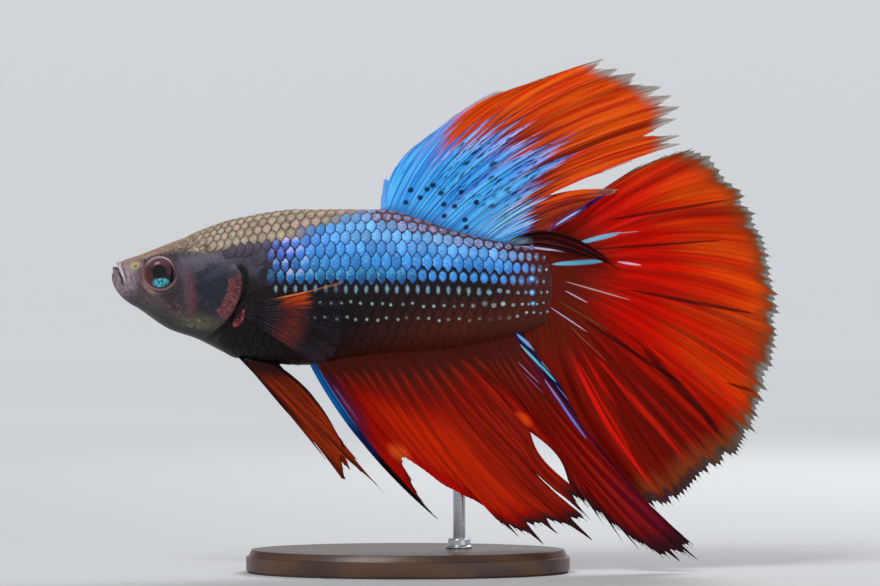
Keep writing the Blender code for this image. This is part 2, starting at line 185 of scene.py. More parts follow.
def stacked(rings: Array, start: Sequence[float], end: Sequence[float]) -> tuple[Array, list[tuple[int, ...]]]:
    """Closes a stack of rings with a point at each end.

    Args:
        rings: The rings' points, in the order of the stack.
        start: The point that closes the first ring.
        end: The point that closes the last ring.

    Returns:
        The points and the faces.
    """
    rows, n = rings.shape[:2]
    faces = [tuple(f) for f in grid_faces(rows, n, around=True)]
    for row, tip in ((0, rows * n), (rows - 1, rows * n + 1)):
        faces += [(row * n + i, row * n + (i + 1) % n, tip)[::1 if row else -1] for i in range(n)]
    return np.concatenate([rings.reshape(-1, 3), [start, end]]), faces


def face_out(obj: Thing) -> None:
    """Turns every face of a closed mesh outwards.

    Args:
        obj: The object that has the mesh.
    """
    work = bmesh.new()
    work.from_mesh(obj.data)
    bmesh.ops.recalc_face_normals(work, faces=work.faces)
    work.to_mesh(obj.data)
    work.free()


def show(name: str, data: bpy.types.ID) -> Thing:
    """Puts a mesh, lamp or camera into the scene.

    Args:
        name: The object's name.
        data: What it shows.

    Returns:
        The object.
    """
    obj = bpy.data.objects.new(name, data)
    bpy.context.scene.collection.objects.link(obj)
    return obj


def make_piece(name: str, points: Array, faces: Iterable[Sequence[int]], material: Material | None = None,
               marks: dict[str, Array] | None = None, edges: Sequence[tuple[int, int]] = (),
               recalculate: bool = True) -> Thing:
    """A smooth-shaded object.

    Args:
        name: The object's name.
        points: Its points in millimetres.
        faces: Point numbers of each face.
        material: Its finish.
        marks: Numbers that its finish reads, one for each point, by name.
        edges: Loose edges, for a mesh of lines.
        recalculate: Whether to turn the faces outwards.

    Returns:
        The linked object.
    """
    mesh = bpy.data.meshes.new(name)
    mesh.from_pydata((np.asarray(points) * MM).tolist(), list(edges), [tuple(map(int, f)) for f in faces])
    for mark, values in (marks or {}).items():
        values = np.asarray(values, np.float32)
        kind, slot = ("FLOAT_VECTOR", "vector") if values.ndim == 2 else ("FLOAT", "value")
        mesh.attributes.new(mark, kind, "POINT").data.foreach_set(slot, values.ravel())
    if material:
        mesh.materials.append(material)
    obj = show(name, mesh)
    if recalculate and len(mesh.polygons):
        face_out(obj)
    mesh.shade_smooth()
    return obj


def wear(piece: Thing, slot: str, *nodes: str) -> None:
    """Hands a finished piece to the frame.

    Args:
        piece: The piece.
        slot: Not used.
        nodes: The frame's nodes that it stands for.
    """
    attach(piece, "root")
    if nodes:
        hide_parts(*nodes)
    LOG.info("%s: %d faces", piece.name, len(piece.data.polygons))


# ---- geometry nodes


class Nodes:
    """A node tree that is written from a script."""

    tree: bpy.types.NodeTree

    def node(self, kind: str, settings: dict[str, object] | None = None,
             inputs: dict[str | int, object] | None = None) -> bpy.types.Node:
        """Adds a node.

        Args:
            kind: Its type.
            settings: Its own settings, set first. "stops" fills a ramp with (place, value).
            inputs: Values, Vals or sockets for its inputs, by name, number or identifier.

        Returns:
            The node.
        """
        node = self.tree.nodes.new(kind)
        for key, value in (settings or {}).items():
            if key == "stops":
                self._fill_ramp(node.color_ramp, value)
            else:
                setattr(node, key, value)
        for key, value in (inputs or {}).items():
            known = isinstance(key, int) or key in node.inputs
            self.feed(node.inputs[key] if known else next(s for s in node.inputs if s.identifier == key), value)
        return node

    @staticmethod
    def _fill_ramp(ramp: bpy.types.ColorRamp, stops: Sequence[Pair]) -> None:
        """Sets a ramp's stops.

        Args:
            ramp: The ramp.
            stops: Its (place, value) pairs.
        """
        while len(ramp.elements) < len(stops):
            ramp.elements.new(0.5)
        for element, (place, value) in zip(ramp.elements, stops):
            element.position, element.color = place, (value, value, value, 1.0)

    def feed(self, socket: Socket, value: object) -> None:
        """Links an input to a Val or a socket, or sets it to a value or a display colour.

        Args:
            socket: The input.
            value: What it gets.
        """
        value = getattr(value, "socket", value)
        if isinstance(value, Socket):
            self.tree.links.new(value, socket)
        else:
            socket.default_value = (*linear(value), 1.0) if socket.type == "RGBA" else value

    def join(self, x: object = 0.0, y: object = 0.0, z: object = 0.0) -> Socket:
        """A vector from three numbers."""
        return self.node("ShaderNodeCombineXYZ", inputs={0: x, 1: y, 2: z}).outputs[0]


class Tree(Nodes):
    """A Geometry Nodes tree with named inputs, ending in Realize Instances and Set Material."""

    def __init__(self, name: str) -> None:
        """Starts an empty tree.

        Args:
            name: The tree's name.
        """
        self.tree = bpy.data.node_groups.new(name, "GeometryNodeTree")
        self.tree.interface.new_socket("Geometry", in_out="OUTPUT", socket_type="NodeSocketGeometry")
        self.entry, self.exit = self.tree.nodes.new("NodeGroupInput"), self.tree.nodes.new("NodeGroupOutput")
        self.defaults: dict[str, object] = {}

    def input(self, name: str, kind: str, value: object = None) -> Socket:
        """Adds a named input.

        Args:
            name: Its name.
            kind: Its socket type, such as Float, Int, Object, Material or Geometry.
            value: What the modifier sets it to.

        Returns:
            The socket that carries it inside the tree.
        """
        socket = self.tree.interface.new_socket(name, in_out="INPUT", socket_type="NodeSocket" + kind)
        if value is not None:
            self.defaults[socket.identifier] = value
        return self.entry.outputs[name]

    def make(self, kind: str, settings: dict[str, object] | None = None, **inputs: object) -> Socket:
        """The first output of a Geometry node, whose inputs are named with _ for each space.

        Args:
            kind: Its type without the prefix.
            settings: Its own settings.
            inputs: Its inputs.

        Returns:
            The output.
        """
        named = {name.replace("_", " "): value for name, value in inputs.items()}
        return self.node("GeometryNode" + kind, settings, named).outputs[0]

    def math(self, operation: str, *terms: object) -> Socket:
        """A Math node's result."""
        return self.node("ShaderNodeMath", {"operation": operation}, dict(enumerate(terms))).outputs[0]

    def vector(self, operation: str, *terms: object) -> Socket:
        """A Vector Math node's result. SCALE takes its factor as the second term."""
        places = (0, "Scale") if operation == "SCALE" else range(len(terms))
        return self.node("ShaderNodeVectorMath", {"operation": operation}, dict(zip(places, terms))).outputs[0]

    def split(self, vector: object) -> Sequence[Socket]:
        """The three parts of a vector."""
        return self.node("ShaderNodeSeparateXYZ", inputs={0: vector}).outputs

    def place(self) -> Socket:
        """Where the present point is."""
        return self.make("InputPosition")

    def mark(self, name: str, kind: str = "FLOAT_VECTOR") -> Socket:
        """What the present point carries under a name."""
        return self.make("InputNamedAttribute", {"data_type": kind}, Name=name)

    def finish(self, geometry: Socket, material: object) -> None:
        """Ends the tree with what it has made, in the material of an input."""
        real = self.make("RealizeInstances", Geometry=geometry)
        self.feed(self.exit.inputs[0], self.make("SetMaterial", Geometry=real, Material=material))

    def grow(self, seed_object: Thing, name: str) -> Thing:
        """Runs the tree on an object and keeps the result as a plain mesh.

        Args:
            seed_object: The object that carries the modifier. It is removed.
            name: The new piece's name.

        Returns:
            The new piece.
        """
        modifier = seed_object.modifiers.new("grow", "NODES")
        modifier.node_group = self.tree
        for identifier, value in self.defaults.items():
            modifier[identifier] = value
        graph = bpy.context.evaluated_depsgraph_get()
        mesh = bpy.data.meshes.new_from_object(seed_object.evaluated_get(graph), depsgraph=graph)
        seed_object.modifiers.remove(modifier)
        bpy.data.objects.remove(seed_object)
        mesh.name = name
        mesh.shade_smooth()
        return show(name, mesh)


# ---- shader maths


class Val:
    """A number in a shader tree that takes part in arithmetic."""

    def __init__(self, maker: Maker, socket: Socket) -> None:
        """Wraps a socket of the maker's tree."""
        self.maker, self.socket = maker, socket

    def _math(self, operation: str, *terms: object) -> Val:
        """The result of a Math node on these terms."""
        node = self.maker.node("ShaderNodeMath", {"operation": operation}, dict(enumerate(terms)))
        return Val(self.maker, node.outputs[0])

    def __add__(self, other: Val | float) -> Val:
        """Sum."""
        return self._math("ADD", self, other)

    def __sub__(self, other: Val | float) -> Val:
        """Difference."""
        return self._math("SUBTRACT", self, other)

    def __rsub__(self, other: float) -> Val:
        """Difference from a number."""
        return self._math("SUBTRACT", other, self)

    def __mul__(self, other: Val | float) -> Val:
        """Product."""
        return self._math("MULTIPLY", self, other)

    __radd__, __rmul__ = __add__, __mul__

    def __truediv__(self, other: Val | float) -> Val:
        """Quotient."""
        return self._math("DIVIDE", self, other)

    def __pow__(self, other: float) -> Val:
        """Power."""
        return self._math("POWER", self, other)

    def __abs__(self) -> Val:
        """Size without sign."""
        return self._math("ABSOLUTE", self)

    def least(self, other: Val | float) -> Val:
        """The smaller of the two."""
        return self._math("MINIMUM", self, other)

    def most(self, other: Val | float) -> Val:
        """The larger of the two."""
        return self._math("MAXIMUM", self, other)

    def clipped(self) -> Val:
        """Held between 0 and 1."""
        return self.least(1.0).most(0.0)

    def wave(self) -> Val:
        """Sine."""
        return self._math("SINE", self)

    def part(self) -> Val:
        """What is left after the whole number."""
        return self._math("FRACT", self)

    def off(self, scale: float = 1.0) -> Val:
        """Noise around 0, multiplied by the scale."""
        return (self - 0.5) * scale if scale != 1.0 else self - 0.5

    def rise(self, low: float | Val, high: float | Val) -> Val:
        """A smooth step from 0 at low to 1 at high. It falls where low is the larger.

        Args:
            low: Where the step is 0.
            high: Where the step is 1.

        Returns:
            The step.
        """
        node = self.maker.node("ShaderNodeMapRange", {"interpolation_type": "SMOOTHSTEP"},
                               {"Value": self, "From Min": low, "From Max": high})
        return Val(self.maker, node.outputs["Result"])

    def bump(self, middle: float | Val, width: float | Val) -> Val:
        """A smooth hill of height 1 at the middle that reaches 0 a width away."""
        return (abs(self - middle) / width).rise(1.0, 0.0)


class Maker(Nodes):
    """Builds one material's tree."""

    def __init__(self, name: str) -> None:
        """Starts a material with a Principled shader.

        Args:
            name: The material's name.
        """
        self.material = bpy.data.materials.new(name)
        self.material.use_nodes = True
        self.tree = self.material.node_tree
        self.shader = self.tree.nodes["Principled BSDF"]

    def mark(self, name: str) -> Val:
        """A number that the mesh carries."""
        return Val(self, self.node("ShaderNodeAttribute", {"attribute_name": name}).outputs["Fac"])

    def split(self, vector: object, scale: float = 1.0) -> tuple[Val, Val, Val]:
        """The three parts of a vector, each multiplied by the scale."""
        node = self.node("ShaderNodeSeparateXYZ", inputs={0: vector})
        return tuple(Val(self, out) * scale for out in node.outputs)

    def place(self) -> tuple[Val, Val, Val]:
        """Where the surface is, in millimetres."""
        return self.split(self.node("ShaderNodeTexCoord").outputs["Object"], 1 / MM)

    def marked_place(self, name: str) -> tuple[Val, Val, Val]:
        """A place that the mesh carries, in millimetres."""
        return self.split(self.node("ShaderNodeAttribute", {"attribute_name": name}).outputs["Vector"], 1 / MM)

    def noise(self, vector: object, scale: float, detail: float = 2.0, roughness: float = 0.5) -> Val:
        """Soft noise around 0.5.

        Args:
            vector: The place.
            scale: Waves for each unit.
            detail: Layers of finer noise.
            roughness: How strong the finer layers are.

        Returns:
            The noise.
        """
        node = self.node("ShaderNodeTexNoise", inputs={"Vector": vector, "Scale": scale, "Detail": detail,
                                                       "Roughness": roughness})
        return Val(self, node.outputs["Fac"])

    def cells(self, vector: object, scale: float, feature: str = "F1", jitter: float = 1.0) -> Val:
        """The distance to the nearest of many scattered points, or to the border between them.

        Args:
            vector: The place.
            scale: Points for each unit.
            feature: Which distance.
            jitter: How unevenly the points lie.

        Returns:
            The distance.
        """
        node = self.node("ShaderNodeTexVoronoi", {"feature": feature}, {"Vector": vector, "Scale": scale,
                                                                        "Randomness": jitter})
        return Val(self, node.outputs["Distance"])

    def level(self, value: Val, stops: Sequence[Pair]) -> Val:
        """A number that follows (place, value) stops with places in 0..1."""
        node = self.node("ShaderNodeValToRGB", {"stops": stops}, {"Fac": value})
        return Val(self, node.outputs["Color"])

    def mix(self, first: object, second: object, share: Val | float) -> Socket:
        """One colour laid over another.

        Args:
            first: The colour below.
            second: The colour above.
            share: How much of it shows.

        Returns:
            The colour.
        """
        node = self.node("ShaderNodeMix", {"data_type": "RGBA", "clamp_factor": True},
                         {"Factor_Float": share, "A_Color": first, "B_Color": second})
        return next(out for out in node.outputs if out.identifier == "Result_Color")

    def lay(self, colour: object, *coats: tuple[object, Val | float]) -> Socket:
        """Lays coats over a colour in order, each a colour and how much of it shows.

        Args:
            colour: The colour below.
            coats: The coats.

        Returns:
            The colour.
        """
        for shade, share in coats:
            colour = self.mix(colour, shade, share)
        return colour

    def shaded(self, colour: object, amount: Val) -> Socket:
        """A colour made lighter or darker by a factor."""
        return self.node("ShaderNodeVectorMath", {"operation": "SCALE"}, {0: colour, "Scale": amount}).outputs[0]

    def segment(self, x: Val, z: Val, mark: Sequence[float], wobble: Val | float = 0.0) -> Val:
        """A thin mark that tapers to both ends.

        Args:
            x: The surface's x.
            z: The surface's z.
            mark: Its ends, as x, z, x, z, and half its width in the middle.
            wobble: Noise around 0 that bends its edges.

        Returns:
            1 on the mark and 0 off it.
        """
        x0, z0, x1, z1, width = mark
        dx, dz = x1 - x0, z1 - z0
        long = math.hypot(dx, dz)
        along = ((x - x0) * (dx / long ** 2) + (z - z0) * (dz / long ** 2))
        off = abs((x - x0) * (-dz / long) + (z - z0) * (dx / long))
        taper = (along * (1.0 - along) * 4.0).most(0.0) ** 0.8
        return (off / (taper * width + 0.001) + wobble).rise(1.3, 0.5) * along.bump(0.5, 0.52).rise(0.0, 0.1)

    def spot(self, x: Val, z: Val, centre: Pair, radii: Pair, turn: float = 0.0,
             soft: float = 0.3, wobble: Val | float = 0.0) -> Val:
        """A soft oval.

        Args:
            x: The surface's x.
            z: The surface's z.
            centre: The middle, in x, z.
            radii: Half its length and height before it is turned.
            turn: How far it is turned anticlockwise, in degrees.
            soft: How far its edge fades, as a share of its radius.
            wobble: Noise added to its edge.

        Returns:
            1 inside and 0 outside.
        """
        c, s = math.cos(math.radians(turn)), math.sin(math.radians(turn))
        ox, oz = x - centre[0], z - centre[1]
        a = (ox * c + oz * s) / radii[0]
        b = (oz * c - ox * s) / radii[1]
        return ((a * a + b * b) ** 0.5 + wobble).rise(1.0 + soft, 1.0 - soft)

    def far(self, x: Val, z: Val, place: Sequence[float]) -> Val:
        """The distance from a place in x, z."""
        ox, oz = x - place[0], z - place[1]
        return (ox * ox + oz * oz) ** 0.5

    def relief(self, height: Val, strength: float, depth: float) -> Socket:
        """A bumped normal, with depth in millimetres."""
        node = self.node("ShaderNodeBump", inputs={"Height": height, "Strength": strength, "Distance": depth * MM})
        return node.outputs[0]

    def finish(self, inputs: dict[str, object]) -> Material:
        """Sets the shader's inputs.

        Args:
            inputs: Values, Vals or sockets by the input's name.

        Returns:
            The finished material.
        """
        for key, value in inputs.items():
            self.feed(self.shader.inputs[key], value)
        return self.material


# ---- body shape


@dataclass(frozen=True)
class BodyShape:
    """The bare flesh: an oval trunk between the lines of back and belly, with a blunt muzzle in front."""

    back: Line = Line(((-32.4, 33.3), (-28, 35), (-21.6, 37.2), (-15.3, 38.05), (-6.9, 38.05),
                       (-2.7, 37.05), (0.4, 35.95), (7.8, 34.2), (12.6, 33.3)))
    belly: Line = Line(((-32.4, 27.65), (-29, 25.4), (-26.4, 24.5), (-21.6, 22.4), (-15.3, 21.75),
                        (-9, 22.7), (-0.6, 23.4), (6.7, 24.7), (12.6, 27)))
    half_width: Line = Line(((-32.4, 2.3), (-29.9, 3), (-25.5, 3.9), (-21, 4.35), (-14, 4.3),
                             (-6, 3.9), (0, 3.2), (6, 2.2), (9, 1.45), (10.4, 0.85), (11.4, 0.4), (12.3, 0.12)))
    widest_at: float = 0.53
    muzzle_end: float = -32.4
    rear_end: float = 12.2
    mouth: Pair = (-34.75, 32.2)
    leaves: tuple[Triple, ...] = ((0.2, 0, 0.5), (-0.9, 0, -0.6), (0.1, 1.3, -0.6))
    comes_in: tuple[Triple, ...] = ((0.9, 0, 0.3), (2.7, 0, -1.3), (1.2, 0.2, 0))

    def trunk(self, x: Array, angle: Array) -> Array:
        """Places on the trunk.

        Args:
            x: Where along the fish.
            angle: Where round it: 0 is the middle of the back, a quarter turn the right side.

        Returns:
            x, y, z in the last axis.
        """
        x, angle = np.broadcast_arrays(np.asarray(x, float), angle)
        top, bottom, half = self.back.at(x), self.belly.at(x), self.half_width.at(x)
        middle = bottom + self.widest_at * (top - bottom)
        reach = np.where(np.cos(angle) > 0, top - middle, middle - bottom)
        return np.stack([x, half * np.sin(angle), middle + reach * np.cos(angle)], axis=-1)

    def muzzle(self, share: float, angle: Array) -> Array:
        """Places on a ring of the muzzle.

        Args:
            share: 0 at the middle of the mouth, 1 where the trunk starts.
            angle: Where round it.

        Returns:
            x, y, z in the last axis.
        """
        weights = np.stack([np.maximum(np.cos(angle), 0), np.maximum(-np.cos(angle), 0), np.abs(np.sin(angle))])
        mirror = np.stack([np.ones(len(angle)), np.sign(np.sin(angle)), np.ones(len(angle))], axis=1)
        start, end = np.array([self.mouth[0], 0, self.mouth[1]]), self.trunk(self.muzzle_end, angle)
        near = start + weights.T @ np.array(self.leaves) * mirror
        far = end - weights.T @ np.array(self.comes_in) * mirror
        s = share
        return (1 - s) ** 3 * start + 3 * s * (1 - s) ** 2 * near + 3 * s * s * (1 - s) * far + s ** 3 * end

    @staticmethod
    def normals(grid: Array, closed: bool = True) -> Array:
        """The outward directions on a grid of rings of points, which may be closed.

        Args:
            grid: The rings.
            closed: Whether a ring's ends meet.

        Returns:
            One direction for each point.
        """
        along = np.gradient(grid, axis=0)
        across = (np.roll(grid, -1, axis=1) - np.roll(grid, 1, axis=1)) if closed else np.gradient(grid, axis=1)
        normal = np.cross(across, along)
        normal /= np.maximum(np.linalg.norm(normal, axis=-1, keepdims=True), 1e-9)
        outward = grid - grid.mean(axis=1, keepdims=True)
        return normal if (normal * outward).sum() > 0 else -normal


@dataclass(frozen=True)
class HeadRelief:
    """The folds of the head, as heights over the bare flesh, and where the finish finds them."""

    mouth_line: Path = Path(((-35.1, 32.75), (-34.75, 32.25), (-34.3, 31.6), (-33.97, 30.8), (-33.8, 29.8)))
    lip_folds: tuple[Path, ...] = (Path(((-34.15, 33), (-33.95, 32), (-33.5, 30.9), (-33.3, 29.9))),
                                   Path(((-33.45, 33.1), (-33.3, 31.9), (-32.85, 30.5), (-32.9, 29.4))),
                                   Path(((-32.6, 31.3), (-32.1, 30.1), (-31.5, 29.3))))
    gill_edge: Path = Path(((-22.05, 32.55), (-21.15, 31.3), (-21.1, 29.8), (-21.4, 28.6), (-22, 27.4),
                            (-22.85, 26.3), (-24.1, 25.3), (-25.5, 24.4)))
    cheek_edge: Path = Path(((-26.6, 31.5), (-26.9, 28.6), (-26.1, 26.7), (-24.3, 25.9)))
    throat_line: Path = Path(((-33.8, 29.7), (-31.8, 28), (-29, 26.5), (-26, 25.9)))
    nostrils: tuple[Triple, ...] = ((-32.5, 32.15, 0.28), (-31.45, 32.85, 0.16))
    eye: Pair = (-29.85, 31.45)

    def heights(self, x: Array, z: Array) -> tuple[Array, dict[str, Array]]:
        """The relief.

        Args:
            x: Places' x.
            z: Places' z.

        Returns:
            Heights in millimetres, and the finish's marks by name.
        """
        q, share = self.mouth_line.nearest(x, z)
        ends = ease((1 - share) / 0.15)
        mouth = -0.42 * bell(q, 0.11) * ends
        lips = (0.15 * bell(np.abs(q) - 0.3, 0.16) - 0.1 * bell(q + 0.72, 0.13)) * ends
        jaw = np.zeros(np.shape(x))
        for path, deep in zip(self.lip_folds, (0.2, 0.17, 0.1)):
            q, share = path.nearest(x, z)
            middle = ease(share / 0.2) * ease((1 - share) / 0.25)
            jaw += (0.08 * bell(q + 0.2, 0.14) - deep * bell(q, 0.08)) * middle
        pits = np.zeros(np.shape(x))
        for cx, cz, r in self.nostrils:
            far = np.hypot(x - cx, z - cz)
            pits += 0.1 * bell(far - r, 0.1) - 0.22 * bell(far, 0.7 * r)
        far = np.hypot(x - self.eye[0], z - self.eye[1])
        socket = -0.9 * ease((1.66 - far) / 0.14)
        low = ease(0.6 - ((x - self.eye[0]) * 0.5 + (z - self.eye[1])) / 2)
        lid = 0.1 * bell(far - 1.8, 0.13) - 0.1 * bell(far - 2.12, 0.14) + 0.07 * low * bell(far - 2.36, 0.14)
        q, share = self.gill_edge.nearest(x, z)
        middle = ease(share / 0.1) * ease((1 - share) / 0.2)
        lift = np.where(q < 0, 0.24 * bell(q, 1.3), -0.32 * bell(q, 0.75)) * middle
        gill_rim = ease((0.92 - np.abs(q + 0.84)) / 0.4) * ease((share - 0.1) / 0.12) * ease((0.75 - share) / 0.14)
        lift = lift + 0.07 * gill_rim
        # Where the shadow behind the gill cover is painted.
        gill_gap = np.where(q > -0.05, bell(q - 0.2, 0.55), 0) * middle
        ox, oz = x + 21.55, z - 26.85
        lobe = np.hypot((ox * 0.88 - oz * 0.47) / 0.62, (ox * 0.47 + oz * 0.88) / 1.3)
        second = 0.22 * ease((1.15 - lobe) / 0.5)
        q, share = self.cheek_edge.nearest(x, z)
        middle = ease(share / 0.15) * ease((1 - share) / 0.15)
        cheek = (0.09 * bell(q + 0.35, 0.4) - 0.13 * bell(q, 0.16)) * middle
        q, share = self.throat_line.nearest(x, z)
        throat = -0.07 * bell(q, 0.2) * ease(share / 0.1) * ease((1 - share) / 0.15)
        # Where this relief sinks in, the finish paints shade.
        folds = mouth + jaw + np.minimum(pits, 0) + cheek + throat
        marks = {"hollow": np.clip(-folds, 0, 0.4), "gill_rim": gill_rim, "gill_gap": gill_gap,
                 "red_lobe": ease((1.15 - lobe) / 0.3), "lobe_rim": ease((lobe - 0.35) / 0.4)}
        return mouth + lips + jaw + pits + socket + lid + lift + second + cheek + throat, marks


# ---- finishes of the body


@dataclass(frozen=True)
class BodyPaint:
    """The markings that the skin and its scales share, over x and z in millimetres."""

    belly: Colour = (20, 12, 11)
    maroon: Colour = (84, 28, 16)
    flank: Colour = (25, 16, 19)
    shoulder: Colour = (72, 63, 76)
    back: Colour = (118, 78, 80)
    nape: Colour = (177, 160, 136)
    tail: Colour = (88, 30, 20)
    violet: Colour = (74, 106, 222)
    blue: Colour = (58, 150, 232)
    pale_blue: Colour = (128, 196, 244)
    teal: Colour = (28, 140, 178)

    def nape_share(self, x: Val, z: Val) -> Val:
        """Where the golden scales of the nape are."""
        border = (x * 0.14 + 36.7).most(x * 0.36 + 41.15) + x.rise(-17.5, -20) * x.rise(-26, -23.5) * 0.75
        return (z - border).rise(-0.5, 0.7) * x.rise(-8.5, -13) * x.rise(-31.5, -27.5)

    def blue_share(self, x: Val, z: Val) -> Val:
        """Where the blue band is.

        Args:
            x: Where along the fish.
            z: The height.

        Returns:
            1 in the band and 0 outside it.
        """
        low = z - (x.rise(2, 10) * 0.5 + 30.2)
        high = (z - (x + 19.3) * 0.36 - 34.2).rise(0.6, -0.7).most(x.rise(-10.5, -8))
        rim = (z - (x * -0.235 + 35.95)).rise(0.3, -0.5).most(x.rise(-1, -4))
        return low.rise(-0.5, 0.5) * high * rim * x.rise(-19.9, -17.9) * x.rise(10.4, 7.6)

    def ground(self, m: Maker, x: Val, z: Val, mottle: Val) -> Socket:
        """The colour under the shine.

        Args:
            m: The material's maker.
            x: Where along the fish.
            z: The height.
            mottle: Noise around 0.5.

        Returns:
            The colour.
        """
        shift = mottle.off(1.6)
        return m.lay(
            self.belly, (self.maroon, (x + shift * 3 - (z - 25) * 1.6).rise(-15, 3)),
            (self.flank, (z + shift).rise(26.4, 30.4)),
            (self.shoulder, x.rise(-16.6, -20) * z.rise(30.4, 31.8)),
            (self.back, (z + shift * 0.5 + x * 0.14).rise(34.2, 36.6)),
            (self.nape, self.nape_share(x, z)),
            (self.tail, (x + shift * 1.5).rise(3, 10)))

    def shine(self, m: Maker, x: Val, z: Val, mottle: Val) -> Socket:
        """The colour of the blue band.

        Args:
            m: The material's maker.
            x: Where along the fish.
            z: The height.
            mottle: Noise around 0.5.

        Returns:
            The colour.
        """
        return m.lay(
            self.violet, (self.blue, (x + mottle.off(4)).rise(-18, -13.5)),
            (self.pale_blue, (z + mottle.off(2) + x * 0.1).rise(32, 35.2) * x.rise(-15, -9) * 0.75),
            (self.teal, (z + mottle.off()).rise(33.2, 31.4) * x.rise(-1, -7) * 0.8))


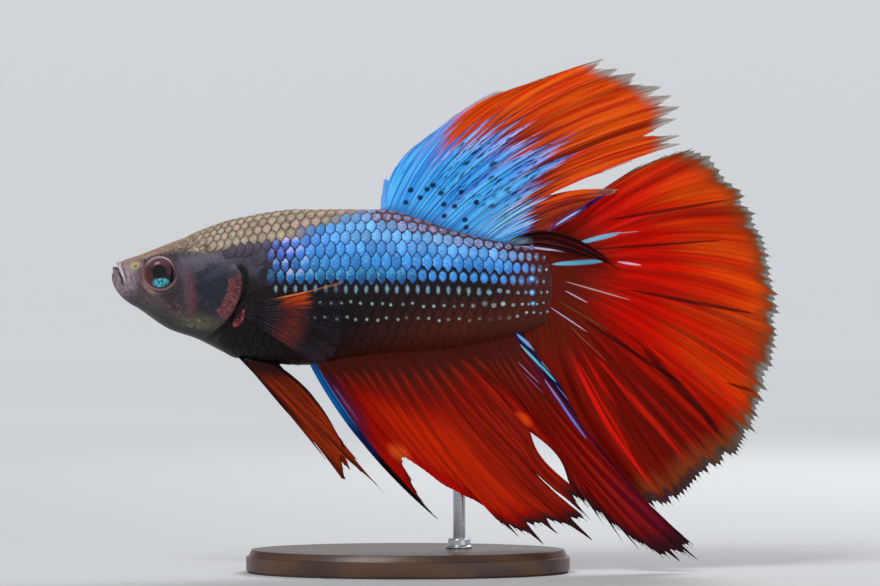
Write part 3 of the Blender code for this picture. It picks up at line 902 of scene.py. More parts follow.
@dataclass(frozen=True)
class SkinFinish:
    """Wet, finely grained skin: bare and mottled on the head, dark under the scales."""

    paint: BodyPaint = BodyPaint()

    def head(self, m: Maker, x: Val, y: Val, z: Val, mottle: Val, fine: Val) -> Socket:
        """The head's colours.

        Args:
            m: The material's maker.
            x: Where along the fish.
            y: To which side.
            z: The height.
            mottle: Broad noise.
            fine: Fine noise.

        Returns:
            The colour.
        """
        wob = mottle.off(0.7) + fine.off(0.5)
        colour = m.lay(
            (42, 37, 41), ((63, 56, 64), mottle.rise(0.35, 0.65)),
            ((157, 138, 149), x.rise(-31.3, -33.2) * z.rise(28.2, 30) * 0.85),
            ((156, 136, 124), (z + wob - (x + 32.4) * 0.32).rise(32.5, 33.6) * x.rise(-34, -31.5)),
            ((112, 116, 98), m.spot(x, z, (-31.2, 33.5), (1.3, 0.5), 20, 0.6, wob) * 0.7),
            ((164, 134, 118), (z + wob - (x + 29) * 0.3).rise(33.2, 34.2)),
            ((184, 160, 122), m.spot(x, z, (-32.5, 32.2), (0.7, 0.36), 6, 0.6, fine.off(2.4)) * 0.85),
            # Painted highlight: a wet glint along the upper lip's fold.
            ((214, 200, 206), m.spot(x, z, (-34.02, 31.55), (0.2, 1.1), 22, 0.7, wob * 0.4) * 0.95),
            ((182, 162, 170), m.spot(x, z, (-33.3, 31.5), (0.16, 1), 14, 0.8, wob * 0.5) * 0.6),
            ((104, 84, 98), m.spot(x, z, (-34.95, 31.3), (0.38, 1.2), 8, 0.6, wob * 0.5) * 0.8),
            ((86, 66, 70), m.spot(x, z, (-30.6, 28.7), (1.6, 0.8), -35, 0.7, wob)),
            ((104, 74, 78), m.spot(x, z, (-28.2, 27.6), (1.3, 0.7), -40, 0.7, wob) * fine.rise(0.45, 0.6) * 0.8),
            ((82, 78, 74), m.spot(x, z, (-31.6, 28.3), (2.2, 0.9), -38, 0.7, wob) * 0.5),
            ((40, 34, 33), (z + wob).rise(26.9, 25.3)),
            ((86, 84, 66), m.spot(x, z, (-26, 26.3), (2.6, 0.8), -8, 0.7, wob) * 0.75),
            ((126, 122, 96), m.spot(x, z, (-26.3, 26.2), (1.7, 0.55), -8, 0.7, wob) * fine.rise(0.5, 0.62) * 0.6),
            ((94, 82, 100), m.spot(x, z, (-24.6, 32.5), (3, 0.9), 4, 0.6, wob) * 0.75),
            ((112, 78, 88), m.spot(x, z, (-26.75, 29.3), (0.5, 2), 2, 0.7, wob) * 0.65),
            ((104, 46, 58), m.spot(x, z, (-26.3, 28.9), (0.34, 1.9), 2, 0.8, wob) * 0.6),
            ((33, 37, 50), m.spot(x, z, (-24, 29.9), (2, 2.5), 14, 0.3, wob)),
            ((58, 66, 84), m.spot(x, z, (-23.7, 31.6), (1.6, 0.5), 28, 0.6, wob) * 0.6),
            ((156, 120, 122), m.spot(x, z, (-31.1, 29.9), (0.9, 0.32), -48, 0.6, wob) * 0.8),
            ((98, 82, 104), m.spot(x, z, (-27.5, 31.8), (0.5, 1.4), 10, 0.6, wob) * 0.5))
        # The crown's scales are drawn on the skin as cells, with painted shade along their borders.
        crown = (z + wob * 0.8).rise(33.2, 34) * (x + wob).rise(-28.8, -26.4)
        crown_cells = m.cells(m.join(x * 0.9, y, z * 1.15), 0.95, "DISTANCE_TO_EDGE", 0.6)
        golden = m.mix(self.paint.nape, (150, 134, 116), mottle.rise(0.42, 0.6))
        golden = m.shaded(golden, crown_cells.rise(0, 0.17) * 0.78 + fine.rise(0.4, 0.7) * 0.34 + 0.24)
        return m.mix(colour, golden, crown * 0.9)

    def make(self) -> Material:
        """Makes the skin's material.

        Returns:
            The material.
        """
        m = Maker("fish_skin")
        x, y, z = m.place()
        spot = m.join(x, y, z)
        mottle, fine = m.noise(spot, 0.55, 3), m.noise(spot, 2.6, 4, 0.62)
        grain, speck = m.noise(spot, 9, 2), m.noise(spot, 4.2, 2)
        colour = self.head(m, x, y, z, mottle, fine)
        back = m.mix(self.paint.ground(m, x, z, mottle), self.paint.shine(m, x, z, mottle),
                     self.paint.blue_share(x, z) * 0.35)
        behind = (x - (z - 32.5).most(0) * -1.6).rise(-21.8, -20.6)
        behind = behind.most((x + (26 - z).most(0) * 0.9).rise(-22.6, -21.4))
        nape_zone = (x + (z - 32).most(0) * 1.9).rise(-22.2, -20.8)
        colour = m.shaded(m.mix(colour, back, behind.most(nape_zone)), fine.rise(0.25, 0.75) * 0.6 + 0.7)
        band = m.lay((80, 30, 35), ((122, 58, 62), fine.rise(0.35, 0.6)),
                     ((166, 122, 116), speck.rise(0.52, 0.68) * 0.5))
        lobe = m.lay((64, 12, 16), ((148, 46, 54), m.mark("lobe_rim")),
                     ((206, 124, 128), speck.rise(0.54, 0.66) * 0.6))
        eye, nostril = m.far(x, z, HeadRelief.eye), m.far(x, z, HeadRelief.nostrils[0])
        under = (z - 31.45 + (x + 29.85) * 0.4).rise(0.9, -0.9)
        colour = m.lay(
            colour, ((168, 158, 162), speck.rise(0.62, 0.72) * 0.2 * x.rise(-26, -28) * z.rise(25, 28)),
            ((26, 20, 24), speck.rise(0.36, 0.28) * 0.35),
            (band, (m.mark("gill_rim") + fine.off(1.3)).rise(0.1, 1) * 0.76),
            (lobe, m.mark("red_lobe").rise(0.2, 0.8) * 0.9),
            # Painted shadow in the gap behind the gill cover.
            ((10, 7, 9), m.mark("gill_gap").rise(0.25, 0.8) * 0.92),
            ((208, 178, 120), nostril.bump(0.3, 0.16) * 0.5),
            # Painted shade in the mouth slit, the lip and jaw fold lines, the nostrils and the cheek and throat
            # grooves.
            ((20, 13, 16), m.mark("hollow").rise(0.05, 0.26) * 0.85),
            (m.mix((78, 66, 76), (150, 108, 104), under), eye.bump(1.84, 0.26) * 0.75),
            # Painted shade in the socket just round the eyeball.
            ((52, 30, 32), eye.rise(1.72, 1.62) * 0.9))
        cell = m.cells(m.join(x, y, z), 1.15, "DISTANCE_TO_EDGE", 0.7)
        plates = cell.rise(0, 0.3) * x.rise(-31.5, -29)
        height = plates * 0.22 + grain * 0.2 + fine * 0.42
        return m.finish({"Base Color": colour, "Roughness": fine * 0.26 + 0.3, "Specular IOR Level": 0.22,
                         "Coat Weight": 0.07, "Coat Roughness": 0.22,
                         "Normal": m.relief(height, 0.6, 0.12)})


@dataclass(frozen=True)
class ScaleFinish:
    """Scales with a bright face and a dark rim. On the flank only a small bright spot is left on each."""

    paint: BodyPaint = BodyPaint()
    rings: tuple[Triple, ...] = ((9, 30.8, 0.34), (9, 29.35, 0.32), (9.1, 28.2, 0.25))

    def make(self) -> Material:
        """Makes the scales' material.

        Returns:
            The material.
        """
        m = Maker("fish_scales")
        x, y, z = m.marked_place("root")
        a, b, _ = m.split(m.node("ShaderNodeAttribute", {"attribute_name": "local"}).outputs["Vector"])
        rim, chance, row = m.mark("rim"), m.mark("chance"), m.mark("row")
        here = m.join(*m.place())
        mottle = m.noise(m.join(x, y, z), 0.55, 3)
        fine, flake = m.noise(here, 5, 2), m.noise(here, 3.9, 3, 0.65)
        ground, shine = self.paint.ground(m, x, z, mottle), self.paint.shine(m, x, z, mottle)
        band, nape = self.paint.blue_share(x, z), self.paint.nape_share(x, z)
        # The bare part of a scale runs from its middle to its rear edge.
        face = rim.rise(1, 0.85) * a.rise(-0.32, 0)
        # Painted light and shade: ahead of the tail, each scale's bare face is a little lighter than its rim.
        lit = rim.rise(1, 0.86) * a.rise(-0.1, 0.4) * 0.14 * x.rise(4, 0)
        colour = m.shaded(ground, lit + fine.off(0.6) + 0.86)
        cell = (((a - 0.5) / 0.5) ** 2 + (b / 0.62) ** 2) ** 0.5 + fine.off(0.4)
        # Scales in the middle of the band shine all over, and those near its edges only in a bead.
        back_line = z - (x * -0.235 + 35.95)
        front = x.rise(-13.5, -18)
        core = (z - 30.9).rise(0, 1.4).most(x.rise(-2, -6)) * back_line.rise(0, -1.7).most(x.rise(-7, -10))
        core = core * x.rise(9, 4) * (1 - front * 0.45)
        reach = core * 0.62 + 0.6 + (flake - 0.5) * front * 1.4
        narrow = ((((a - 0.5) / 0.34) ** 2 + (b / 0.74) ** 2) ** 0.5 - cell) * front + cell
        glow = narrow.rise(reach + 0.2, reach - 0.15) * face
        pale = (flake + b * 0.06 - a * 0.06).rise(0.46, 0.68)
        low_patch = m.spot(a, b, (0.58, -0.3), (0.34, 0.42), 0, 0.5, flake.off(1.4)) * z.rise(32.9, 31.6)
        tinted = m.lay(
            shine, ((26, 84, 180), (a + flake.off(1.8)).rise(0.5, 1.05) * 0.62),
            ((24, 88, 176), b.rise(-0.1, -0.75) * 0.5),
            ((166, 216, 246), pale * 0.42),
            ((84, 92, 206), flake.rise(0.45, 0.35) * 0.5),
            ((204, 196, 236), b.rise(-0.1, 0.6) * chance.rise(0.35, 0.85) * front * 0.9),
            ((44, 40, 84), b.rise(0.2, -0.7) * front * 0.6),
            ((34, 40, 122), low_patch * 0.45 * (0.3 + core)))
        near_back = back_line.rise(-1.7, -0.3) * x.rise(-11, -7)
        glow = glow * (1 - near_back * flake.rise(0.56, 0.46) * 0.7)
        edge_tint = m.mix((168, 172, 226), (186, 158, 178), chance)
        tinted = m.mix(m.shaded(tinted, chance.off(0.45) + 0.95), edge_tint, near_back * 0.7)
        # The navy round each shining face is partly the scale's own dark edge and partly painted shade where the
        # scale in front overlaps it.
        outline = m.mix(ground, (16, 44, 100), core * 0.85 * (1 - front * 0.9))
        colour = m.mix(colour, m.mix(outline, tinted, glow), band)
        # Below the band each scale has one bright spot, long in the first row and round in the others.
        rear = x.rise(1, 5)
        long = (((a - 0.52) / 0.18) ** 2 + (b / 0.33) ** 2) ** 0.5 + fine.off(1.3)
        aside, along = ((chance * 13).part() - 0.5) * 0.3, ((chance * 29).part() - 0.5) * 0.24
        round_one = (((a - 0.52 - along) / 0.14) ** 2 + ((b - aside) / 0.12) ** 2) ** 0.5 + fine.off(0.9)
        first = long.rise(1.25, 0.5) * row.bump(0, 0.6) * x.rise(-20.5, -18.5) * rear.rise(1, 0.5) * 0.68
        others = round_one.rise(1.3, 0.6) * row.rise(-0.4, -0.6) * row.rise(-2.6, -2.4) * x.rise(-17, -14)
        others = others * chance.rise(0.06, 0.2) * (chance * 0.5 + 0.4)
        size = x.rise(9.5, 4) * 0.6 + 0.95
        beads = round_one.rise(size + 0.4, size - 0.2) * rear * z.rise(26.5, 27.1) * ((chance * 7).part() * 0.5 + 0.5)
        spots = first.most(others * (1 - rear)).most(beads) * (1 - band * x.rise(9, 7))
        px, _, pz = m.place()
        for cx, cz, size in self.rings:
            spots = spots * m.far(px, pz, (cx, cz)).rise(size, size * 2)
        tint = m.lay(
            (156, 186, 198), ((146, 182, 166), (chance * 5).part().rise(0.4, 0.7)),
            ((110, 164, 206), row.rise(-0.6, -0.4) * (chance * 0.5 + 0.4)),
            ((216, 230, 224), fine.rise(0.48, 0.6) * 0.7))
        colour = m.mix(colour, tint, spots * 0.92)
        for cx, cz, size in self.rings:
            far = m.far(px, pz, (cx, cz))
            ring = m.mix((190, 226, 240), (48, 146, 220), far.rise(size * 0.2, size * 0.8))
            colour = m.mix(colour, ring, far.rise(size * 1.15, size * 0.85))
        golden = m.mix(self.paint.nape, (178, 150, 142), (mottle + chance.off(0.5)).rise(0.5, 0.7) * 0.7)
        # Painted light and shade on the golden nape scales: lighter in the middle, darker towards the rim and the
        # covered front.
        golden = m.shaded(golden, chance.off(0.36) + flake.off(1.8) - cell.clipped() * 0.56 + 1.34)
        soft = rim.rise(1.02, 0.72) * a.rise(-0.3, 0.3)
        golden = m.shaded(golden, (soft * 0.62 + 0.36).most(x.rise(-23.5, -26) * 0.8))
        colour = m.mix(colour, golden, nape * (1 - band))
        # The shining parts are also glossier, and they carry a painted glow: they give off a little light in their
        # own colour.
        shining = (band * glow).most(spots)
        grooves = (b * 34 + fine * 3).wave() * a.rise(0.1, 0.6) * 0.2
        height = grooves + rim.rise(1, 0.85) * 0.5 + fine * 0.35 + flake * 0.5
        return m.finish({"Base Color": colour, "Roughness": 0.46 - shining * 0.12 + fine * 0.12,
                         "Specular IOR Level": 0.16, "Coat Weight": 0.05, "Coat Roughness": 0.2,
                         "Emission Color": m.mix((0, 0, 0), colour, shining), "Emission Strength": 0.12,
                         "Normal": m.relief(height, 0.5, 0.03)})


@dataclass(frozen=True)
class EyeFinish:
    """A dark iris with a pink upper rim and a bright patch of blue-green under the round pupil."""

    centre: Pair = (-29.85, 31.45)

    def make(self) -> Material:
        """Makes the eye's material.

        Returns:
            The material.
        """
        m = Maker("fish_eye")
        x, _, z = m.place()
        ox, oz = x - self.centre[0], z - self.centre[1]
        far = m.far(x, z, self.centre)
        streak = m.noise(m.join(ox * 2.2, oz * 2.2, far * 1.4), 2, 3)
        teal = m.spot(ox, oz, (0.16, -1.1), (0.86, 0.52), 4, 0.22, streak.off(0.8))
        slope = oz + ox * 0.5
        colour = m.lay(
            (84, 43, 47), ((50, 23, 27), streak.rise(0.35, 0.65)),
            ((100, 68, 78), (oz + streak.off(0.6)).rise(0.2, 1.1) * 0.85),
            ((36, 22, 40), m.spot(ox, oz, (0.9, -0.3), (0.6, 0.9), 0, 0.5) * 0.7),
            (m.mix((22, 128, 152), (118, 220, 232), streak.rise(0.42, 0.6)), teal),
            ((196, 164, 176), far.bump(1.6, 0.17) * slope.rise(-0.4, 0.8) * 0.85),
            ((130, 76, 62), far.bump(1.62, 0.16) * slope.rise(0.2, -0.8) * 0.7),
            ((6.6, 6.6, 13), m.far(ox, oz, (-0.02, 0)).rise(0.82, 0.7) * (1 - teal * 0.9)))
        return m.finish({"Base Color": colour, "Roughness": 0.16, "Specular IOR Level": 0.22,
                         "Coat Weight": 0.16, "Coat Roughness": 0.08})


# ---- body pieces


@dataclass(frozen=True)
class Skin:
    """One closed skin over head, jaw, gill covers, trunk and tail stem."""

    shape: BodyShape = BodyShape()
    relief: HeadRelief = HeadRelief()
    under: float = 0.08
    around: int = 256
    fine_step: float = 0.1
    coarse_step: float = 0.26
    fine_end: float = -19.8
    muzzle_rings: int = 28
    nodes: tuple[str, ...] = ("head", "lower_jaw", "gill_cover_left", "gill_cover_right", "trunk_front",
                              "trunk_rear", "tail_stem")

    def rings(self) -> Array:
        """The rings of points of the bare flesh, from the muzzle to the tail.

        Returns:
            The rings.
        """
        angle = np.linspace(0, 2 * math.pi, self.around, endpoint=False)
        shares = np.linspace(0, 1, self.muzzle_rings + 1)[1:-1]
        fine = np.arange(self.shape.muzzle_end, self.fine_end, self.fine_step)
        coarse = np.arange(self.fine_end, self.shape.rear_end, self.coarse_step)
        return np.array([self.shape.muzzle(s, angle) for s in shares]
                        + [self.shape.trunk(x, angle) for x in np.concatenate([fine, coarse])])

    def build(self) -> None:
        """Makes and dresses the skin."""
        grid = self.rings()
        heights, marks = self.relief.heights(grid[..., 0], grid[..., 2])
        normals = self.shape.normals(grid)
        grid = grid + normals * (heights - self.under)[..., None]
        points, faces = stacked(grid, grid[0].mean(axis=0) - [0.02, 0, 0], grid[-1].mean(axis=0))
        flat = {name: np.concatenate([values.ravel(), [0, 0]]) for name, values in marks.items()}
        skin = make_piece("betta_skin", points, faces, SkinFinish().make(), flat)
        wear(skin, "skin", *self.nodes)


@dataclass(frozen=True)
class ScalePlate:
    """One scale as a thin closed lens, a little larger than its share of the lattice so that scales overlap."""

    half_long: float = 1.08
    half_wide: float = 0.9
    front_lift: float = -0.07
    rear_lift: float = 0.13
    dome: float = 0.05
    thick: float = 0.03
    segments: int = 16
    rings: tuple[float, ...] = (0.42, 0.74, 0.93, 1)

    def build(self) -> Thing:
        """Makes the scale, in lattice steps along x and y and in millimetres along z.

        Returns:
            The scale.
        """
        turn = np.linspace(0, 2 * math.pi, self.segments, endpoint=False)
        a, b = np.cos(turn), np.sin(turn)
        slope = (self.rear_lift - self.front_lift) / 2
        rows, local, rim = [(0, 0, self.front_lift + slope + self.dome)], [(0, 0, 0)], [0]
        for r in self.rings:
            lift = self.front_lift + slope * (1 + r * a) + self.dome * (1 - r * r)
            rows += list(zip(self.half_long * r * a, self.half_wide * r * b, lift))
            local += list(zip(r * a, r * b, 0 * a))
            rim += [r] * len(turn)
        lift = self.front_lift + slope * (1 + a) - self.thick
        rows += list(zip(self.half_long * a * 0.985, self.half_wide * b * 0.985, lift))
        rows += [(0, 0, self.front_lift + slope - self.thick)]
        local += list(zip(a, b, 0 * a)) + [(0, 0, 0)]
        rim += [1] * (len(turn) + 1)
        n, count = self.segments, len(self.rings)
        faces, kinds = [(0, 1 + i, 1 + (i + 1) % n) for i in range(n)], ["top"] * n
        for ring in range(count):
            start = 1 + ring * n
            faces += [(start + i, start + n + i, start + n + (i + 1) % n, start + (i + 1) % n) for i in range(n)]
            kinds += ["side" if ring == count - 1 else "top"] * n
        under = 1 + count * n
        faces += [(under + (i + 1) % n, under + i, under + n) for i in range(n)]
        kinds += ["under"] * n
        plate = make_piece("scale_plate", np.array(rows) / MM, faces, None,
                           {"local": np.array(local), "rim": np.array(rim)}, recalculate=False)
        layer = plate.data.uv_layers.new(name="patch")
        for polygon, kind in zip(plate.data.polygons, kinds):
            for corner in polygon.loop_indices:
                p, q, _ = local[plate.data.loops[corner].vertex_index]
                where = {"top": (0.08 + 0.34 * p, 0.42 * q), "side": (-0.40 + 0.02 * p, 0.42 * q),
                         "under": (-0.33 + 0.02 * p, 0.42 * q)}[kind]
                layer.data[corner].uv = where
        return plate


@dataclass(frozen=True)
class ScaleCoat:
    """The overlapping scales of one flank, laid over a hidden guide sheet that has the body's shape."""

    side: Side
    shape: BodyShape = BodyShape()
    plate: ScalePlate = ScalePlate()
    pitch: Line = Line(((-27, 0.66), (-23, 0.8), (-19, 0.95), (-14, 1.05), (4, 1.07), (9, 0.78), (12, 0.6)))
    rows_up: Line = Line(((-27, 0.74), (-22, 1), (-17, 1.2), (-10, 1.42), (-4, 1.47), (9, 1.3)))
    knee: float = 4.2
    crowd: Line = Line(((-24, 0.1), (-16, 0.15), (-5, 0.18)))
    rows_down: Line = Line(((-24, 1.35), (-4.8, 1.58), (4, 1.45), (9, 1)))
    reference: Line = Line(((-27, 30.2), (-19, 29.8), (-4.8, 29.7), (9, 29.25)))
    starts: Line = Line(((21, -21.6), (24.4, -23.4), (26.5, -21.7), (28, -20), (29.6, -19), (31.2, -18.8),
                         (32.6, -19), (33.4, -21.6), (34.2, -24.6), (35.6, -27.2), (38, -27.4)))
    ends: float = 10.4
    wide: float = 64.0
    high: float = 34.0
    uneven: float = 0.05
    patch_size: Pair = (0.92, 0.46)
    under: float = 0.06
    sheet_from: float = -29.4
    sheet_to: float = 12.9
    sheet_step: float = 0.25
    sheet_turns: int = 190
    past_middle: float = 1.45
    flank_from: float = 0.35
    grow_past: float = 0.03

    def guide(self) -> Thing:
        """The guide sheet, which holds the lattice's map and where scales grow.

        Returns:
            The sheet.
        """
        xs = np.arange(self.sheet_from, self.sheet_to, self.sheet_step)
        turn = np.linspace(-self.past_middle, math.pi + self.past_middle, self.sheet_turns)
        grid = self.shape.trunk(xs[:, None], self.side.value * turn[None, :])
        normals = self.shape.normals(grid, closed=False)
        across = np.concatenate([[0], np.cumsum(np.diff(xs) / self.pitch.at((xs[1:] + xs[:-1]) / 2))])
        lattice = np.zeros(grid.shape[:2] + (3,))
        keep = np.zeros(grid.shape[:2])
        for i, x in enumerate(xs):
            steps = np.linalg.norm(np.diff(grid[i], axis=0), axis=1)
            arc = np.concatenate([[0], np.cumsum(steps)])
            flank = (turn > self.flank_from) & (turn < math.pi - self.flank_from)
            order = np.argsort(grid[i, flank, 2])
            zero = np.interp(self.reference.at(x), grid[i, flank, 2][order], arc[flank][order])
            up = zero - arc
            high = up + self.crowd.at(x) * np.maximum(up - self.knee, 0)
            rows = np.where(up > 0, high / self.rows_up.at(x), up / self.rows_down.at(x))
            lattice[i, :, 0] = (across[i] + 2) / self.wide
            lattice[i, :, 1] = (rows + self.high / 2) / self.high
            own = (turn > -self.grow_past) & (turn < math.pi + self.grow_past)
            keep[i] = own & (x > self.starts.at(grid[i, :, 2])) & (x < self.ends)
        grid = grid - normals * self.under
        faces = grid_faces(*grid.shape[:2])
        if self.side is Side.RIGHT:
            faces = faces[:, ::-1]
        sheet = make_piece(f"scale_guide_{self.side.word}", grid.reshape(-1, 3), faces, None,
                           {"keep": keep.ravel(), "lattice": lattice.reshape(-1, 3),
                            "outward": normals.reshape(-1, 3)}, recalculate=False)
        return sheet

    def tree(self, guide: Thing, plate: Thing, material: Material) -> Tree:
        """The tree that lays a lattice of scales and wraps them on the guide.

        Args:
            guide: The guide sheet.
            plate: One scale.
            material: The scales' finish.

        Returns:
            The tree.
        """
        t = Tree(f"scales_{self.side.word}")
        t.input("Geometry", "Geometry")
        sheet, scale = t.input("Guide", "Object", guide), t.input("Scale", "Object", plate)
        columns, rows = t.input("Columns", "Int", int(self.wide)), t.input("Rows", "Int", int(self.high) - 1)
        wide, high = t.input("Map Width", "Float", self.wide), t.input("Map Height", "Float", self.high)
        uneven = t.input("Unevenness", "Float", self.uneven)
        seed = t.input("Seed", "Int", SEED + self.side.value)
        finish = t.input("Material", "Material", material)

        grid = t.make("MeshGrid", Size_X=t.math("SUBTRACT", columns, 1), Size_Y=t.math("SUBTRACT", rows, 1),
                      Vertices_X=columns, Vertices_Y=rows)
        x, y, _ = t.split(t.place())
        row, middle = t.math("ROUND", y), t.math("MULTIPLY", high, 0.5)
        # Every other row stands half a step along.
        odd = t.math("ABSOLUTE", t.math("MODULO", row, 2))
        column = t.math("ADD", t.math("ADD", x, t.math("MULTIPLY", odd, 0.5)), t.math("MULTIPLY", wide, 0.5))
        placed = t.make("SetPosition", Geometry=grid, Position=t.join(column, t.math("ADD", y, middle)))
        guide_mesh, one = (t.node("GeometryNodeObjectInfo", inputs={"Object": held}).outputs["Geometry"]
                           for held in (sheet, scale))

        def on_guide(name: str, kind: str = "FLOAT_VECTOR") -> Socket:
            """What the guide carries at the present place on the lattice.

            Args:
                name: What is read.
                kind: The kind of value.

            Returns:
                The value.
            """
            value = t.place() if name == "position" else t.mark(name, kind)
            here = t.vector("DIVIDE", t.place(), t.join(wide, high, 1))
            return t.make("SampleUVSurface", {"data_type": kind}, Mesh=guide_mesh, Value=value,
                          Source_UV_Map=t.mark("lattice"), Sample_UV=here)

        bare = t.node("FunctionNodeCompare", {"data_type": "FLOAT", "operation": "LESS_THAN"},
                      {"A": on_guide("keep", "FLOAT"), "B": 0.5}).outputs[0]
        kept = t.make("DeleteGeometry", {"domain": "POINT"}, Geometry=placed, Selection=bare)
        chance, lean = (t.node("FunctionNodeRandomValue", {"data_type": "FLOAT"}, inputs).outputs[1]
                        for inputs in ({"Seed": seed}, {"Min": -1, "Max": 1, "Seed": t.math("ADD", seed, 5)}))
        for name, value in (("root", on_guide("position")), ("chance", chance),
                            ("row", t.math("SUBTRACT", row, middle)), ("cell", t.place())):
            kind = "FLOAT" if name in ("chance", "row") else "FLOAT_VECTOR"
            kept = t.make("StoreNamedAttribute", {"data_type": kind, "domain": "POINT"}, Geometry=kept, Name=name,
                          Value=value)
        wry = t.math("MULTIPLY", lean, uneven)
        size = t.math("ADD", 1, wry)
        many = t.make("InstanceOnPoints", Points=kept, Instance=one, Rotation=t.join(z=wry),
                      Scale=t.join(size, size, 1))
        real = t.make("RealizeInstances", Geometry=many)
        lift = t.math("MULTIPLY", t.split(t.place())[2], MM)
        outward = t.vector("SCALE", t.vector("NORMALIZE", on_guide("outward")), lift)
        body = t.make("SetPosition", Geometry=real, Position=t.vector("ADD", on_guide("position"), outward))
        patch = t.vector("MULTIPLY", t.mark("patch"), (*self.patch_size, 0))
        flat = t.vector("DIVIDE", t.vector("ADD", t.mark("cell"), patch), t.join(wide, high, 1))
        t.finish(t.make("StoreNamedAttribute", {"data_type": "FLOAT2", "domain": "CORNER"}, Geometry=body,
                        Name="OFBake", Value=flat), finish)
        return t

    def build(self, material: Material) -> None:
        """Makes and dresses the coat.

        Args:
            material: The scales' finish.
        """
        guide, plate = self.guide(), self.plate.build()
        start = make_piece(f"scale_start_{self.side.word}", np.zeros((1, 3)), [])
        coat = self.tree(guide, plate, material).grow(start, f"betta_scales_{self.side.word}")
        for helper in (guide, plate):
            bpy.data.objects.remove(helper)
        for name in ("patch", "cell", "lattice"):
            layer = coat.data.attributes.get(name)
            if layer:
                coat.data.attributes.remove(layer)
        coat.data.uv_layers["OFBake"].active = True
        wear(coat, "skin")


@dataclass(frozen=True)
class Eye:
    """A glossy eyeball with a raised iris and a clear round pupil."""

    side: Side
    centre: Pair = (-29.85, 31.45)
    out: float = 2.5
    radius: float = 1.7
    half_depth: float = 0.98
    rings: int = 40
    segments: int = 72

    def build(self, material: Material) -> None:
        """Makes and dresses the eye.

        Args:
            material: The eyes' finish.
        """
        tilt = np.linspace(0, math.pi, self.rings + 1)[1:-1]
        turn = np.linspace(0, 2 * math.pi, self.segments, endpoint=False)
        flat, deep = self.radius * np.sin(tilt), self.half_depth * np.cos(tilt)
        deep = deep + np.where(deep > 0, 0.05 * bell(flat - 0.9, 0.35) - 0.05 * bell(flat - 1.45, 0.12), 0)
        x = self.centre[0] + flat[:, None] * np.cos(turn)
        z = self.centre[1] + flat[:, None] * np.sin(turn)
        y = self.side.value * (self.out + deep[:, None] + 0 * turn)
        poles = [(self.centre[0], self.side.value * (self.out + s * self.half_depth), self.centre[1])
                 for s in (1, -1)]
        points, faces = stacked(np.stack([x, y, z], axis=-1), *poles)
        eye = make_piece(f"betta_eye_{self.side.word}", points, faces, material)
        wear(eye, "eye", f"eye_{self.side.word}")


# ---- fin shapes


@dataclass(frozen=True)
class RayTable:
    """The fin's rays: root, middle and tip of each in x, z."""

    rays: tuple[tuple[float, ...], ...]

    def place(self, u: Array, t: Array) -> tuple[Array, Array]:
        """Places on the fin.

        Args:
            u: The ray's number, which may lie between two rays.
            t: The share of its length.

        Returns:
            x and z.
        """
        numbers = range(len(self.rays))
        columns = np.array(self.rays, float).T
        rx, rz, mx, mz, tx, tz = (Line(tuple(zip(numbers, column))).at(u) for column in columns)
        bx, bz = 2 * mx - (rx + tx) / 2, 2 * mz - (rz + tz) / 2
        return ((1 - t) ** 2 * rx + 2 * t * (1 - t) * bx + t * t * tx,
                (1 - t) ** 2 * rz + 2 * t * (1 - t) * bz + t * t * tz)

    def length(self, u: Array) -> Array:
        """How long the rays are, in millimetres."""
        places = [self.place(u, np.full(np.shape(u), t)) for t in np.linspace(0, 1, 9)]
        return sum(np.hypot(b[0] - a[0], b[1] - a[1]) for a, b in zip(places, places[1:]))

    @property
    def last(self) -> float:
        """The last ray's number."""
        return len(self.rays) - 1


def ripple(u: Array, t: Array, waves: float, size: float, phase: float = 0) -> Array:
    """A sideways wave that runs across the rays and grows towards their tips."""
    return size * np.abs(t) ** 1.5 * np.sin(2 * math.pi * waves * u + phase)


@dataclass(frozen=True)
class Fringe:
    """The edge of a fin: deep bays between the main rays and fine teeth at the tips of their branches."""

    main: float = 1
    bay: float = 0.6
    bay_power: float = 1.4
    tooth: float = 0.5
    teeth_each: int = 4
    uneven: float = 0.4
    spike: float = 0.35
    deep: tuple[Triple, ...] = ()
    calm: Pair = (0, 0)
    threads: tuple[Pair, ...] = ()
    thread_width: float = 0.17
    first_tip: int = 64
    seed: int = SEED

    def life(self, u: Array) -> Array:
        """How jagged the edge is: 1 in most places and low in the calm stretch."""
        start, end = self.calm
        return 1 - 0.88 * ease((u - start) / 0.4) * ease((end - u) / 0.4) if end > start else np.ones(np.shape(u))

    def tip_length(self, number: Array) -> Array:
        """How much a branch falls short of the edge, at random, in millimetres."""
        noise = np.random.default_rng(self.seed).random(4096)
        return self.uneven * noise[(np.asarray(number, int) + self.first_tip) % len(noise)]

    def short(self, u: Array) -> Array:
        """How far the membrane ends before the ray table's edge.

        Args:
            u: The ray's number.

        Returns:
            Millimetres.
        """
        fine = self.main / self.teeth_each
        place = u / fine - 0.5
        low = np.floor(place).astype(int)
        part = place - low
        tips = self.tip_length(low) * (1 - ease(part)) + self.tip_length(low + 1) * ease(part)
        between = 1 - np.abs(2 * part - 1)
        bay = (1 - np.abs(2 * ((u / self.main + 0.5) % 1) - 1))
        short = (self.tooth * between ** 0.8 + tips + self.bay * (1 - bay) ** self.bay_power) * self.life(u)
        for centre, width, depth in self.deep:
            short = short + depth * np.clip(1 - np.abs(u - centre) / width, 0, 1) ** 0.7
        for centre, reach in self.threads:
            short = short - reach * np.clip(1 - np.abs(u - centre) / self.thread_width, 0, 1) ** 1.4
        return short


